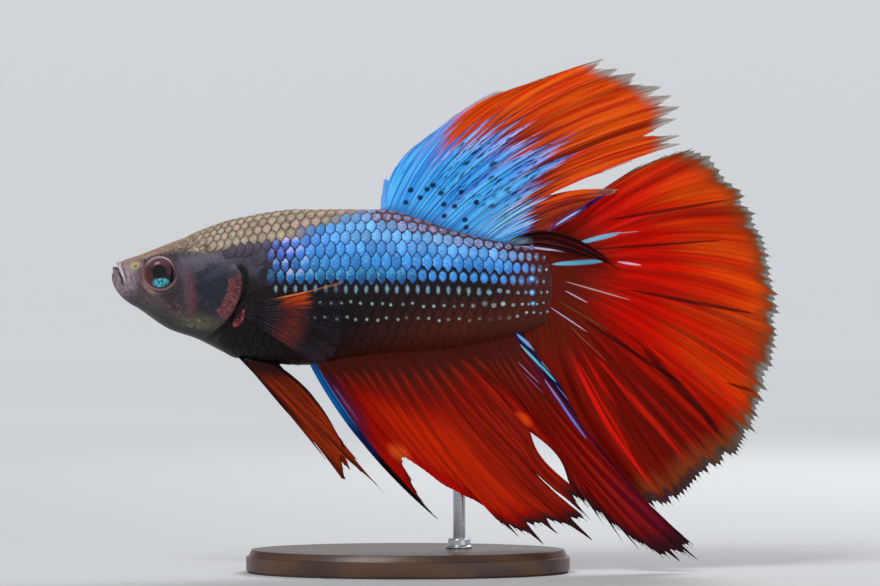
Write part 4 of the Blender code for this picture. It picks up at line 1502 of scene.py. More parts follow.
@dataclass(frozen=True)
class Fin:
    """A fin as a thin closed membrane over its rays, with the rays as tapering tubes that branch."""

    name: str
    nodes: tuple[str, ...]
    slot: str
    table: RayTable
    sway: Sway
    fringe: Fringe
    first: float = 0
    last: float = -1
    opening: Sway | None = None
    columns: int = 24
    rows: int = 44
    root_depth: float = 0.5
    root_thick: float = 0.16
    flesh: float = 0.5
    flesh_reach: float = 0.8
    tip_thick: float = 0.06
    pleat: float = 0.1
    pleat_from: float = 0.12
    ray_radius: float = 0.1
    tip_radius: float = 0.022
    branch_at: Pair = (0.36, 0.66)
    branches: int = 2
    path_points: tuple[int, ...] = (14, 9, 11)
    spread_over: Pair = (0.28, 0.22)
    ray_sides: int = 5

    @property
    def end(self) -> float:
        """The number of the last ray in use."""
        return self.last if self.last > 0 else self.table.last

    def edge(self, u: Array) -> Array:
        """The share of the ray's length at which the membrane ends."""
        return 1 - self.fringe.short(u) / np.maximum(self.table.length(u), 1)

    def surface(self, u: Array, t: Array) -> Array:
        """Places on the middle of the fin.

        Args:
            u: The ray's number.
            t: The share of its length.

        Returns:
            x, y, z in the last axis.
        """
        u, t = np.broadcast_arrays(u, t)
        x, z = self.table.place(u, t)
        if self.opening:
            x = x + self.opening(u, t)
        fold = ease((t - self.pleat_from) / 0.3) * (1 - 0.3 * t)
        y = self.sway(u, np.maximum(t, 0)) + self.pleat * fold * np.cos(2 * math.pi * u / self.fringe.main)
        return np.stack([x, y, z], axis=-1)

    def membrane(self, material: Material) -> None:
        """Makes and dresses the membrane.

        Args:
            material: The fin's finish.
        """
        count = int(round((self.end - self.first) * self.columns)) + 1
        u = np.linspace(self.first, self.end, count)
        long = self.table.length(u)
        shares = np.linspace(0, 1, self.rows) ** 0.85
        start = -self.root_depth / np.maximum(long, 1)
        t = start[None, :] + (self.edge(u) - start)[None, :] * shares[:, None]
        us = np.broadcast_to(u, t.shape)
        middle = self.surface(us, t)
        thin = self.root_thick + (self.tip_thick - self.root_thick) * np.clip(t, 0, 1) ** 0.5
        thick = thin + self.flesh * np.exp(-np.maximum(t * long[None, :], 0) / self.flesh_reach)
        half = np.stack([0 * thick, thick / 2, 0 * thick], axis=-1)
        points = np.concatenate([(middle - half).reshape(-1, 3), (middle + half).reshape(-1, 3)])
        rows, columns = t.shape
        near = grid_faces(rows, columns)
        far = grid_faces(rows, columns, start=rows * columns)[:, ::-1]
        border = list(range(columns)) + [r * columns + columns - 1 for r in range(1, rows)]
        border += [(rows - 1) * columns + c for c in range(columns - 2, -1, -1)]
        border += [r * columns for r in range(rows - 2, 0, -1)]
        rim = [(b, a, a + rows * columns, b + rows * columns) for a, b in zip(border, border[1:] + border[:1])]
        faces = [tuple(f) for f in near] + [tuple(f) for f in far] + rim
        margin = (self.edge(u)[None, :] - t) * long[None, :]
        marks = {"across": us, "along": t, "margin": margin, "full": (1 - t) * long[None, :], "ray": 0 * t}
        doubled = {name: np.concatenate([v.ravel(), v.ravel()]) for name, v in marks.items()}
        sheet = make_piece(self.name, points, faces, material, doubled)
        wear(sheet, self.slot, *self.nodes)

    def ray_lines(self) -> tuple[Array, list[tuple[int, int]], dict[str, Array]]:
        """The rays' middle lines.

        Returns:
            Their points, their edges and the numbers that they carry.
        """
        places, edges, us, ts, girths = [], [], [], [], []
        main = self.fringe.main
        fine = main / self.fringe.teeth_each

        def line(path_u: Array, path_t: Array) -> None:
            """Adds one line.

            Args:
                path_u: Its ray numbers.
                path_t: Its shares of the rays' length.
            """
            start = sum(len(p) for p in places)
            places.append(self.surface(path_u, path_t))
            us.append(path_u)
            ts.append(path_t)
            thin = self.tip_radius + (self.ray_radius - self.tip_radius) * np.clip(1 - path_t, 0, 1) ** 1.1
            girths.append(thin)
            edges.extend((start + i, start + i + 1) for i in range(len(path_u) - 1))

        first_split, second_split = self.branch_at
        numbers = np.arange(math.ceil(self.first / main - 0.01), math.floor(self.end / main + 0.01) + 1)
        for number in numbers:
            u = number * main
            long = float(self.table.length(np.array([u]))[0])
            if long < 1:
                continue
            stem = np.linspace(-self.root_depth / long, first_split, self.path_points[0])
            line(np.full(len(stem), u), stem)
            splits = (-1, 1) if self.branches == 2 else (0,)
            offsets = [(s * main / 4, q * main / 8) for s in (-1, 1) for q in splits]
            done: set[float] = set()
            for wide, narrow in offsets:
                tip_u = u + wide + narrow
                if not self.first <= tip_u <= self.end:
                    continue
                index = int(np.floor(tip_u / fine))
                life = float(self.fringe.life(np.array([tip_u]))[0])
                tip = 1 - ((float(self.fringe.tip_length(np.array([index]))[0]) - self.fringe.spike
                            + self.fringe.bay * (abs(wide + narrow) / main * 2) ** self.fringe.bay_power) * life
                           + sum(d * max(0, 1 - abs(tip_u - c) / w) ** 0.7 for c, w, d in self.fringe.deep)) / long
                middle = np.linspace(first_split, second_split, self.path_points[1])
                if wide not in done:
                    done.add(wide)
                    line(u + wide * ease((middle - first_split) / self.spread_over[0]), middle)
                outer = np.linspace(second_split, max(tip, second_split + 0.05), self.path_points[2])
                line(u + wide + narrow * ease((outer - second_split) / self.spread_over[1]), outer)
        u, t = np.concatenate(us), np.concatenate(ts)
        short = (self.edge(u) - t) * self.table.length(u)
        marks = {"across": u, "along": t, "margin": short, "full": (1 - t) * self.table.length(u),
                 "ray": np.ones(len(u)), "girth": np.concatenate(girths)}
        return np.concatenate(places), edges, marks

    def ray_tubes(self, material: Material) -> None:
        """Makes and dresses the rays.

        Args:
            material: The fin's finish.
        """
        points, edges, marks = self.ray_lines()
        lines = make_piece(f"{self.name}_lines", points, [], None, marks, edges)
        t = Tree(f"{self.name}_rays")
        geometry = t.input("Geometry", "Geometry")
        sides, unit = t.input("Sides", "Int", self.ray_sides), t.input("Unit", "Float", MM)
        finish = t.input("Material", "Material", material)
        radius = t.math("MULTIPLY", t.mark("girth", "FLOAT"), unit)
        curves = t.make("SetCurveRadius", Curve=t.make("MeshToCurve", Mesh=geometry), Radius=radius)
        profile = t.make("CurvePrimitiveCircle", Resolution=sides, Radius=1)
        swept = t.make("CurveToMesh", Curve=curves, Profile_Curve=profile, Fill_Caps=True, Scale=radius)
        t.finish(swept, finish)
        tubes = t.grow(lines, f"{self.name}_rays")
        wear(tubes, self.slot)

    def build(self, material: Material) -> None:
        """Makes and dresses the fin."""
        self.membrane(material)
        self.ray_tubes(material)


# ---- finishes of the fins


class FinMarks:
    """What a fin's finish reads: where it is on the fin, and streaks that run along the rays."""

    def __init__(self, name: str, streaks: float = 5, branches: float = 4) -> None:
        """Reads the marks.

        Args:
            name: The material's name.
            streaks: Streaks for each ray of the table.
            branches: Ray branches for each ray of the table.
        """
        self.m = m = Maker(name)
        self.u, self.t, self.margin, self.full = (m.mark(n) for n in ("across", "along", "margin", "full"))
        self.ray = m.mark("ray")
        self.web = 1 - self.ray
        self.x, self.y, self.z = m.place()
        self.streak = m.noise(m.join(self.u * streaks, self.t * 2.2, 3), 1, 4, 0.6)
        self.broad = m.noise(m.join(self.u * 1.3, self.t * 1.2, 7), 1, 2)
        self.fine = m.noise(m.join(self.u * 30, self.t * 9, 1), 1, 3)
        self.grain = m.noise(m.join(self.x, self.y, self.z), 6, 2)
        self.between = abs((self.u * branches).part() - 0.5) * -2 + 1

    def lines(self, each: float, sharp: float = 0.5) -> Val:
        """Thin lines midway between rays.

        Args:
            each: Lines for each ray of the table.
            sharp: Where a line starts, as a share of the way to it from the ray.

        Returns:
            1 on the lines and 0 on the rays.
        """
        return (abs((self.u * each).part() - 0.5) * -2 + 1).rise(sharp, 1)

    def fibres(self, across: float, along: float, low: float, high: float, place: float) -> Val:
        """Long streaks along the rays.

        Args:
            across: How many for each ray of the table.
            along: How often they end.
            low: The noise level at which they start.
            high: The noise level at which they are full.
            place: Where in the noise they are taken from.

        Returns:
            1 on the streaks and 0 between them.
        """
        return self.m.noise(self.m.join(self.u * across, self.t * along, place), 1, 3).rise(low, high)

    def two(self, first: Colour, second: Colour, high: float = 0.6, low: float = 0.4) -> Socket:
        """Two colours in streaks."""
        return self.m.mix(first, second, self.streak.rise(low, high))

    def strokes(self, marks: Sequence[Sequence[float | Colour]], wobble: Val, share: float,
                shade: Colour | None = None) -> list[Coat]:
        """Thin marks as coats.

        Args:
            marks: The marks, each with its own colour at the end unless they share one.
            wobble: Noise around 0 that bends their edges.
            share: How much of them shows.
            shade: The colour that they share.

        Returns:
            The coats.
        """
        return [(shade or mark[5], self.m.segment(self.x, self.z, mark[:5], wobble) * share) for mark in marks]

    def creases(self, first: Colour, last: Colour, share: float) -> list[Coat]:
        """The dark lines between the rays of the anal fin, broad ones first: partly the fin's own dark lines and
        partly painted shade in the pleat valleys between the rays.

        Args:
            first: The colour of the broad ones.
            last: The colour of the finest ones.
            share: How much of the finest ones shows.

        Returns:
            The coats.
        """
        t = self.t
        return [(first, self.lines(1, 0.66) * (t.rise(0.7, 0.1) * 0.34 + 0.2) * t.rise(0.04, 0.12) * self.web),
                ((44, 12, 10), self.lines(2, 0.5) * t.rise(0.5, 0.2) * t.rise(0.03, 0.1) * 0.55),
                (last, self.lines(4, 0.5) * share * self.web)]

    def done(self, colour: Socket, alpha: Val | float, rough: float = 0.46) -> Material:
        """Ends the material.

        Args:
            colour: Its colour.
            alpha: How solid it is.
            rough: Its roughness.

        Returns:
            The material.
        """
        height = self.between * 0.6 + self.fine * 0.4 + self.grain * 0.2
        # Painted glow: the fin gives off a little light in its own colour, standing in for light shining through it.
        return self.m.finish({"Base Color": colour, "Roughness": rough, "Alpha": alpha,
                              "Specular IOR Level": 0.03, "Emission Color": colour, "Emission Strength": 0.12,
                              "Normal": self.m.relief(height, 0.45, 0.05)})


@dataclass(frozen=True)
class CaudalFinish:
    """The tail fin: scarlet with orange above, brown-red below, painted shade in its pleat valleys and painted
    highlights on its pleat crests, and a smoky rim.
    """

    # Pleat valleys painted dark as shade: x, z, x, z and half width.
    folds: tuple[tuple[float, ...], ...] = (
        (20.4, 23.8, 28.8, 14.9, 0.45), (16.2, 36.8, 30.9, 39.3, 0.2), (18.3, 29.8, 33, 27, 0.22),
        (14.2, 33.8, 29.6, 34.9, 0.16), (14, 26.8, 25.6, 19.2, 0.24), (29.4, 19.9, 33.8, 18.5, 0.2),
        (26.8, 16.6, 30.9, 12.2, 0.26))
    # Pleat crests with painted highlights, in the same columns.
    ridges: tuple[tuple[float, ...], ...] = (
        (15.1, 23.3, 26.1, 10.7, 0.28), (20.4, 24.9, 26.7, 18.1, 0.24), (26.7, 22.3, 31.9, 16, 0.32),
        (13.6, 22.6, 20.6, 10.4, 0.192))
    streaks: tuple[Stroke, ...] = (
        (13.7, 34.5, 18.6, 35.7, 0.26, (112, 190, 226)),
        (17.4, 35.5, 20.4, 35.8, 0.07, (170, 120, 130)),
        (10.9, 32.3, 17, 32.7, 0.27, (104, 190, 226)),
        (17.9, 32.6, 20.6, 32.2, 0.13, (210, 178, 206)),
        (12.2, 30.6, 19.6, 28.5, 0.085, (180, 150, 150)),
        (12.4, 29.6, 15, 28.2, 0.085, (196, 160, 190)),
        (10.8, 27.9, 15, 25.1, 0.075, (196, 170, 200)),
        (11.4, 28.7, 17.4, 25.2, 0.045, (110, 84, 44)),
        (12.8, 26, 17, 22, 0.045, (150, 90, 70)))

    def make(self) -> Material:
        """Makes the tail fin's material.

        Returns:
            The material.
        """
        f = FinMarks("tail_fin", 6, 4)
        m, u, t = f.m, f.u, f.t
        orange = (t + f.streak.off(0.6)).rise(0.42, 0.8) * u.rise(8.4, 5)
        low = (u + f.broad.off(2)).rise(6.4, 8.6)
        stem = m.lay((76, 25, 16), ((104, 28, 12), f.fibres(9, 1, 0.45, 0.6, 17)),
                     ((74, 40, 22), f.fibres(11, 1.4, 0.56, 0.66, 18) * 0.7))
        wide = (f.broad - 0.3) * 1.3 + 0.42 + u.rise(7, 9) * 0.22
        smoke = (f.margin + f.streak.off(2.2)) / wide
        colour = m.lay(
            (212, 18, 2), ((172, 11, 3), f.streak.rise(0.4, 0.66)),
            (m.mix((220, 74, 8), (206, 40, 4), f.broad.rise(0.4, 0.6)), orange),
            (f.two((120, 20, 4), (82, 14, 6), 0.62), low * 0.92),
            ((216, 22, 12), f.fibres(2.6, 0.6, 0.54, 0.64, 11) * low * t.rise(0.15, 0.4)),
            (stem, (t + f.streak.off(0.34)).rise(0.38, 0.06)),
            ((76, 10, 8), f.fibres(3.4, 0.45, 0.54, 0.68, 21) * t.rise(0.1, 0.35) * 0.56),
            ((120, 12, 8), f.lines(2, 0.4) * (f.broad * 0.9 - 0.12).clipped() * f.web),
            ((124, 10, 8), f.lines(8, 0.4) * 0.26 * f.web),
            ((120, 36, 16), f.fine.rise(0.62, 0.72) * orange * 0.5),
            # Painted shade along the pleat valleys and painted highlights along the pleat crests.
            *f.strokes(self.folds, f.fine.off(0.8), 0.75, (30, 8, 8)),
            *f.strokes(self.ridges, f.streak.off(3), 0.55, (224, 30, 12)),
            (f.two((44, 40, 120), (160, 168, 226), 0.6, 0.45), u.rise(0.42, 0.08) * t.rise(0.8, 0.6)),
            *f.strokes(self.streaks + DorsalFinish.hem, f.fine.off(1.2), 0.92),
            ((126, 60, 28), smoke.rise(3.8, 1) * 0.78),
            (m.mix((104, 98, 80), (54, 26, 32), (u + f.broad.off(3)).rise(6.5, 9.5)), smoke.rise(1.5, 0.5) * 0.92),
            ((34, 22, 26), f.fibres(16, 0.6, 0.56, 0.66, 41) * f.margin.rise(1, 0.3) * 0.7))
        return f.done(colour, 1 - smoke.rise(1.4, 0.2) * (u.rise(8.5, 6) * 0.32 + 0.14) * f.web)


@dataclass(frozen=True)
class DorsalFinish:
    """The dorsal fin: bright blue at the root with round black dots, orange outwards, clear grey tips."""

    blue_edge: tuple[Pair, ...] = ((0, 1), (1, 1), (2, 0.72), (3, 0.46), (4, 0.36), (5, 0.38), (6, 0.42), (8, 0.47),
                                   (10, 0.49), (11, 0.46), (12, 0.42), (13, 0.36), (14, 0.36), (15, 0.36),
                                   (16, 0.36), (19, 0.4))
    dots: tuple[Pair, ...] = ((-1.37, 40.6), (-2, 40.2), (-0.2, 38.6), (-0.2, 37.4), (2, 37), (2.1, 36.2),
                              (-3.7, 40.1), (-2.7, 39.3), (-4.2, 38.8), (-0.5, 39.8), (1.6, 39.9), (3.2, 38.8),
                              (0.9, 38.4))
    hem: tuple[Stroke, ...] = (
        (10.7, 35.9, 14.9, 38.5, 0.3, (58, 44, 116)),
        (11.3, 36.3, 14.4, 38.2, 0.12, (170, 180, 228)),
        (13.6, 37.8, 17, 39.8, 0.2, (54, 40, 120)))

    def make(self) -> Material:
        """Makes the dorsal fin's material.

        Returns:
            The material.
        """
        f = FinMarks("dorsal_fin", 3.2, 4)
        m, u, t = f.m, f.u, f.t
        edge = m.level(u / 19, [(place / 19, value) for place, value in self.blue_edge])
        past = t - edge + m.noise(m.join(u * 4.5, t * 0.9, 5), 1, 3).off(0.6)
        orange = m.lay(
            (238, 94, 18), ((210, 50, 10), f.streak.rise(0.4, 0.62)),
            ((136, 26, 10), f.fibres(2.2, 0.6, 0.52, 0.68, 9) * (u.rise(4, 9) * 0.5 + 0.5)),
            ((110, 18, 8), f.lines(1, 0.55) * 0.45 * f.web),
            ((128, 30, 8), u.rise(5, 9) * 0.2),
            (f.two((116, 34, 18), (70, 20, 30), 0.6, 0.46), u.rise(13.9, 14.7) * 0.75),
            ((92, 22, 26), past.rise(0.22, 0.04) * f.fibres(3.4, 2.4, 0.44, 0.58, 33) * u.rise(3, 6) * 0.85))
        blue = m.lay(
            (34, 142, 228), ((96, 190, 248), f.streak.rise(0.38, 0.6)),
            ((20, 84, 190), f.fibres(4.2, 1.2, 0.53, 0.66, 27) * 0.7),
            ((92, 100, 214), f.broad.rise(0.5, 0.7) * 0.5),
            ((96, 92, 206), past.rise(-0.16, 0) * 0.6),
            ((200, 202, 242), past.bump(-0.03, 0.1) * f.streak.rise(0.42, 0.6) * 0.75))
        dash = m.noise(m.join(u * 7, t * 19, 51), 1, 1).rise(0.56, 0.63) * u.rise(3.5, 6) * u.rise(14.5, 12.5)
        rear = u.rise(10.5, 13)
        folded = m.lay(
            (34, 10, 12), ((92, 22, 16), f.fibres(5, 0.5, 0.5, 0.64, 63)),
            ((8, 5, 8), f.lines(3, 0.4) * 0.7),
            ((190, 184, 216), u.rise(18.78, 18.92) * t.rise(0.62, 0.4) * f.streak.rise(0.3, 0.5)),
            ((150, 206, 232), t.rise(0.24, 0.05) * f.fibres(5, 1.2, 0.5, 0.58, 83) * 0.85))
        tips = (f.full + f.streak.off(2.8)).rise(3.4, 1.2) * u.rise(0.6, 2.2) * u.rise(14.4, 13.6)
        smoky = m.lay((104, 98, 84), ((176, 172, 160), f.fibres(7, 0.5, 0.5, 0.62, 91)),
                      ((206, 204, 196), f.margin.rise(0.3, 0.1).most(f.ray * f.full.rise(2.6, 1)) * 0.7))
        ink = f.grain.off(0.8)
        colour = m.lay(
            orange, (blue, past.rise(0.05, -0.03)),
            ((14, 30, 84), f.lines(1, 0.7) * u.rise(3, 6) * past.rise(0.1, -0.05) * 0.6),
            ((12, 16, 46), dash * past.rise(0.06, -0.02) * t.rise(0.1, 0.16) * 0.85),
            ((12, 12, 30), f.fibres(4.6, 1, 0.5, 0.6, 15) * rear * past.rise(0.2, 0) * 0.9),
            ((178, 222, 240), f.fibres(4.6, 0.9, 0.53, 0.6, 71) * rear * past.rise(0.05, -0.1) * 0.85),
            *(((10, 14, 34), m.spot(f.x, f.z, dot, (0.3, 0.26), 30, 0.35, ink) * 0.9) for dot in self.dots),
            (folded, u.rise(16.3, 16.8)),
            ((30, 60, 140), t.rise(0.06, 0) * 0.5),
            (smoky, tips * 0.92),
            ((150, 170, 238), u.rise(1.2, 0.3) * f.streak.rise(0.3, 0.6) * 0.5),
            ((178, 172, 226), u.bump(1.9, 0.34) * t.rise(0.3, 0.55) * f.streak.rise(0.36, 0.5) * 0.8),
            *f.strokes(self.hem, f.fine.off(1.2), 0.88))
        return f.done(colour, 1 - tips * 0.55 * f.web, 0.36)


@dataclass(frozen=True)
class AnalFrontFinish:
    """The front lobe of the anal fin: blood red over a dark root, with a blue and black leading edge."""

    def make(self) -> Material:
        """Makes the front lobe's material.

        Returns:
            The material.
        """
        f = FinMarks("anal_fin_front", 4, 4)
        m, u, t = f.m, f.u, f.t
        middle = (t + f.streak.off(0.4)).bump(0.6, 0.45).rise(0, 0.7)
        middle = middle * (u + f.broad.off(3)).bump(6.6, 5.5).rise(0, 0.7)
        lead = m.lay(
            (12, 100, 176), ((14, 28, 78), (t + f.streak.off(0.3)).rise(0.22, 0.46)),
            ((14, 18, 56), u.bump(0.5, 0.14) * 0.8),
            ((74, 140, 226), u.bump(0.66, 0.07) * t.rise(0.44, 0.3) * 0.8),
            ((14, 7, 10), t.rise(0.5, 0.64)))
        tips = (f.margin + f.streak.off(2)).rise(1.9, 0.3) * (u.rise(2, 0.8) + u.rise(5, 7))
        tips = tips.most((f.full + f.streak.off(3.4)).rise(3, 0.4) * u.rise(5.5, 7))
        colour = m.lay(
            (172, 14, 2), ((126, 12, 3), f.streak.rise(0.4, 0.65)),
            ((204, 42, 6), middle * 0.9),
            ((186, 12, 4), f.margin.rise(3.2, 1.2) * u.rise(10.5, 8.5) * 0.8),
            (f.two((160, 36, 14), (112, 22, 12)), u.rise(8, 10.5) * t.rise(0.2, 0.4) * 0.7),
            (m.mix((66, 24, 17), (126, 32, 16), f.lines(1, 0) * -1 + 1), (t + f.streak.off(0.24)).rise(0.36, 0.06)),
            ((70, 26, 18), t.rise(0.13, 0.05) * 0.85),
            ((96, 14, 8), f.fibres(2.2, 0.8, 0.52, 0.68, 4) * 0.45),
            # Dark lines between the rays, partly painted shade in the pleat valleys.
            *f.creases((52, 14, 10), (80, 10, 8), 0.28),
            ((66, 20, 58), u.rise(2.4, 0.8) * t.rise(0.62, 0.4) * t.rise(0.02, 0.1) * 0.75),
            ((120, 92, 150), u.bump(1.15, 0.16) * t.rise(0.45, 0.3) * t.rise(0.12, 0.18) * 0.7),
            (lead, u.rise(0.86, 0.66)),
            ((236, 90, 30), m.spot(f.x, f.z, (-4.9, 12.5), (1, 0.6), -40, 0.9, f.streak.off(0.8)) * 0.75),
            ((16, 5, 8), tips * 0.94))
        return f.done(colour, 1 - tips.clipped() * 0.1 * f.web)


@dataclass(frozen=True)
class AnalRearFinish:
    """The rear lobe of the anal fin: wine red with black tips, and blue streaks near its rear edge."""

    streaks: tuple[Stroke, ...] = (
        (7.3, 25.1, 9.7, 23, 0.2, (132, 180, 232)),
        (7.6, 24.1, 11.7, 19.8, 0.15, (112, 204, 228)),
        (9.9, 22.2, 12.3, 19.8, 0.12, (112, 172, 224)),
        (7.4, 22.2, 9.9, 19.7, 0.06, (160, 120, 168)),
        (8, 21, 10.4, 18.6, 0.05, (130, 80, 130)),
        (10.2, 20.4, 13.4, 15.9, 0.12, (164, 162, 234)),
        (11.4, 19.8, 14.6, 15.9, 0.06, (140, 124, 186)),
        (11.7, 18.2, 14.8, 13.9, 0.14, (100, 132, 232)))

    def make(self) -> Material:
        """Makes the rear lobe's material.

        Returns:
            The material.
        """
        f = FinMarks("anal_fin_rear", 5, 4)
        m, u, t = f.m, f.u, f.t
        tips = (f.full + f.streak.off(4)).rise(5, 1)
        colour = m.lay(
            (142, 17, 4), ((88, 11, 7), f.streak.rise(0.4, 0.65)),
            ((184, 30, 10), f.fibres(2.6, 0.6, 0.52, 0.62, 31) * t.rise(0.2, 0.4) * 0.8),
            ((92, 12, 38), (t + f.streak.off(0.6)).rise(0.5, 0.85) * u.rise(3, 6) * 0.85),
            (m.mix((70, 24, 16), (128, 34, 16), f.lines(1, 0) * -1 + 1), (t + f.streak.off(0.3)).rise(0.36, 0.04)),
            ((70, 26, 18), t.rise(0.12, 0.04) * 0.85),
            ((60, 10, 12), f.fibres(2.2, 0.8, 0.53, 0.68, 14) * 0.6),
            # Dark lines between the rays, partly painted shade in the pleat valleys.
            *f.creases((50, 12, 10), (62, 8, 10), 0.32),
            ((226, 70, 20), m.spot(f.x, f.z, (8, 16), (1, 0.6), -30, 0.5) * 0.85),
            ((22, 7, 18), tips * 0.9),
            ((10, 26, 66), (u + f.streak.off(0.5)).rise(7.8, 8.3) * t.rise(1, 0.8) * 0.92),
            ((60, 16, 60), u.bump(7.4, 1) * t.rise(0.04, 0.2) * 0.5),
            *f.strokes(self.streaks, f.fine.off(1.2), 0.92))
        return f.done(colour, 1 - tips * 0.08 * f.web)


@dataclass(frozen=True)
class PelvicFinish:
    """The pelvic fins: orange-red blades with black edges."""

    def make(self) -> Material:
        """Makes the pelvic fins' material.

        Returns:
            The material.
        """
        f = FinMarks("pelvic_fin", 4, 2)
        u, t = f.u, f.t
        colour = f.m.lay(
            (146, 44, 12), ((98, 28, 10), f.streak.rise(0.4, 0.62)),
            ((192, 74, 28), f.fibres(3.4, 0.8, 0.57, 0.66, 5) * t.rise(0.2, 0.4) * 0.75),
            ((40, 12, 10), f.fibres(3, 0.7, 0.5, 0.6, 8) * 0.7),
            ((46, 22, 19), (t + f.streak.off(0.2)).rise(0.24, 0.04)),
            ((16, 9, 11), u.rise(0.24, 0.06) * t.rise(0.62, 0.5) * 0.9),
            ((18, 10, 12), u.rise(2.66, 2.86) * 0.9),
            ((40, 14, 12), f.lines(2, 0.6) * 0.6 * f.web),
            ((24, 12, 14), f.margin.rise(0.3, 0.08) * 0.7),
            ((30, 16, 18), f.full.rise(3, 1.2) * u.bump(1, 0.3) * 0.8))
        return f.done(colour, 1)


@dataclass(frozen=True)
class PectoralFinish:
    """The pectoral fins: nearly clear, with thin smoky rays and an orange-red patch."""

    def make(self) -> Material:
        """Makes the pectoral fins' material.

        Returns:
            The material.
        """
        f = FinMarks("pectoral_fin", 3, 3)
        u, t = f.u, f.t
        upper = (t + f.streak.off(0.34)).bump(0.45, 0.22).rise(0, 0.7) * (u + f.broad.off(0.9)).rise(1.9, 0.9)
        lower = (t + f.streak.off(0.2)).bump(0.42, 0.24) * (u + f.broad.off()).rise(1.2, 1.9) * 0.6
        colour = f.m.lay(
            (30, 27, 34), ((50, 44, 54), f.streak.rise(0.4, 0.6)),
            ((84, 74, 84), f.ray * t.rise(0.05, 0.2) * t.rise(0.8, 0.4)),
            (f.two((176, 64, 28), (110, 34, 20)), upper),
            (f.two((128, 44, 26), (84, 26, 20)), lower),
            # Painted highlight along the fin's top edge.
            ((206, 130, 74), u.rise(0.22, 0.05) * t.rise(0.2, 0.3) * 0.7))
        solid = (upper * 0.7).most(lower * 0.9) + 0.24 + f.ray * t.rise(0.8, 0.5) * 0.1 + t.rise(0.1, 0) * 0.4
        return f.done(colour, solid.least(1), 0.5)


# ---- fin pieces


def plain_sway(value: float, lean: float) -> Sway:
    """A sideways line that leans out towards the tips."""
    return lambda u, t: value + lean * t


@dataclass(frozen=True)
class TailFin:
    """The half-moon tail fin."""

    table: RayTable = RayTable((
        (9, 34.4, 13.1, 37.9, 20.6, 42.9),
        (11, 34.2, 17.9, 39.9, 26.4, 44.6),
        (11.8, 33.1, 20.9, 37.8, 31.4, 39.8),
        (11.9, 32.5, 22.5, 35.3, 33.9, 34.8),
        (11.9, 31.9, 23.3, 32.2, 35, 29.4),
        (11.9, 31.3, 23.3, 28.9, 35.3, 24.3),
        (11.9, 30.6, 22.7, 26.4, 34.1, 19.2),
        (11.9, 29.9, 21.6, 23.9, 32.7, 14.8),
        (11.9, 29.3, 20.4, 22.1, 31, 12.2),
        (11.8, 28.7, 18.9, 20.3, 27.8, 9.8),
        (11.8, 28.1, 17.3, 18.6, 24.9, 7.2),
        (10.9, 26.9, 13.9, 17.3, 21.7, 6.3),
        (7.7, 25.7, 9.8, 18.8, 17.8, 7.4)))
    fringe: Fringe = Fringe(main=0.5, bay=0.3, tooth=0.4, teeth_each=4, uneven=0.7, spike=0.12)

    def sway(self, u: Array, t: Array) -> Array:
        """The tail swings gently to the right, and its edge is ruffled.

        Args:
            u: The ray's number.
            t: The share of its length.

        Returns:
            How far the fin lies to the right.
        """
        ruffle = 0.22 * np.sin(2 * math.pi * 1.1 * u) + 0.1 * np.sin(6.3 * 2.3 * u + 1)
        soft = ripple(u, t, 0.36, 0.5, 0.8) + t * ruffle
        return ease(t) * ease((u + 1) / 9) + soft

    def build(self) -> None:
        """Makes and dresses the tail fin."""
        Fin("betta_caudal_fin", ("caudal_fin_upper", "caudal_fin_middle", "caudal_fin_lower"), "fin", self.table,
            self.sway, self.fringe, columns=40, rows=46, root_depth=1.7, pleat=0.17, flesh=0.7,
            flesh_reach=1).build(CaudalFinish().make())


@dataclass(frozen=True)
class DorsalFin:
    """The dorsal fin, with its last rays folded down over the tail."""

    table: RayTable = RayTable((
        (-6.8, 38.1, -6.7, 39.8, -6.5, 41.4),
        (-6.3, 38.1, -5.5, 41.6, -3.6, 44.6),
        (-5.8, 38, -1.7, 45, 5.4, 50.6),
        (-5.2, 37.9, 0.6, 46.7, 10.6, 51.9),
        (-4.7, 37.7, 2.5, 47.5, 13.8, 53),
        (-4.1, 37.6, 4.6, 47.8, 16.9, 54),
        (-3.5, 37.4, 5.8, 47, 18.3, 52.9),
        (-2.7, 37.1, 7, 46.4, 20.2, 52.5),
        (-1.9, 36.9, 8.4, 45.5, 22.8, 51.1),
        (-1.1, 36.5, 9.4, 44.6, 24, 50.1),
        (-0.1, 36.1, 10.5, 43.8, 24.9, 48.9),
        (0.9, 35.8, 11.3, 42.9, 24.5, 47.6),
        (2.1, 35.6, 12, 41.9, 24.9, 46),
        (3.4, 35.3, 12.2, 40.8, 25, 45),
        (4.4, 35.1, 10.6, 38.7, 17.9, 39.8),
        (5.1, 34.9, 10.3, 37.5, 15.8, 39.2),
        (5.8, 34.75, 9.8, 36.2, 14.7, 38.1),
        (6.4, 34.6, 11.5, 35.45, 17.9, 32.1),
        (7, 34.4, 12.2, 34.6, 18.6, 31.4),
        (7.6, 34.2, 11.6, 33.65, 16.4, 32.75)))
    fringe: Fringe = Fringe(main=1, bay=1.9, bay_power=1, tooth=0.14, teeth_each=4, uneven=0.16, spike=0.22,
                            deep=((11.5, 0.5, 1.6), (13.42, 0.42, 9.5), (16.5, 0.42, 3.2)), calm=(13.9, 16.4))

    def sway(self, u: Array, t: Array) -> Array:
        """The last rays hang over the near side of the tail fin."""
        return (ripple(u, t, 0.28, 0.45) * ease((15 - u) / 3)
                - 1.25 * ease((u - 12.5) / 4.5) * ease(t / 0.6))

    def build(self) -> None:
        """Makes and dresses the dorsal fin."""
        Fin("betta_dorsal_fin", ("dorsal_fin",), "dorsal", self.table, self.sway, self.fringe, columns=20, rows=46,
            root_depth=1, pleat=0.14).build(DorsalFinish().make())


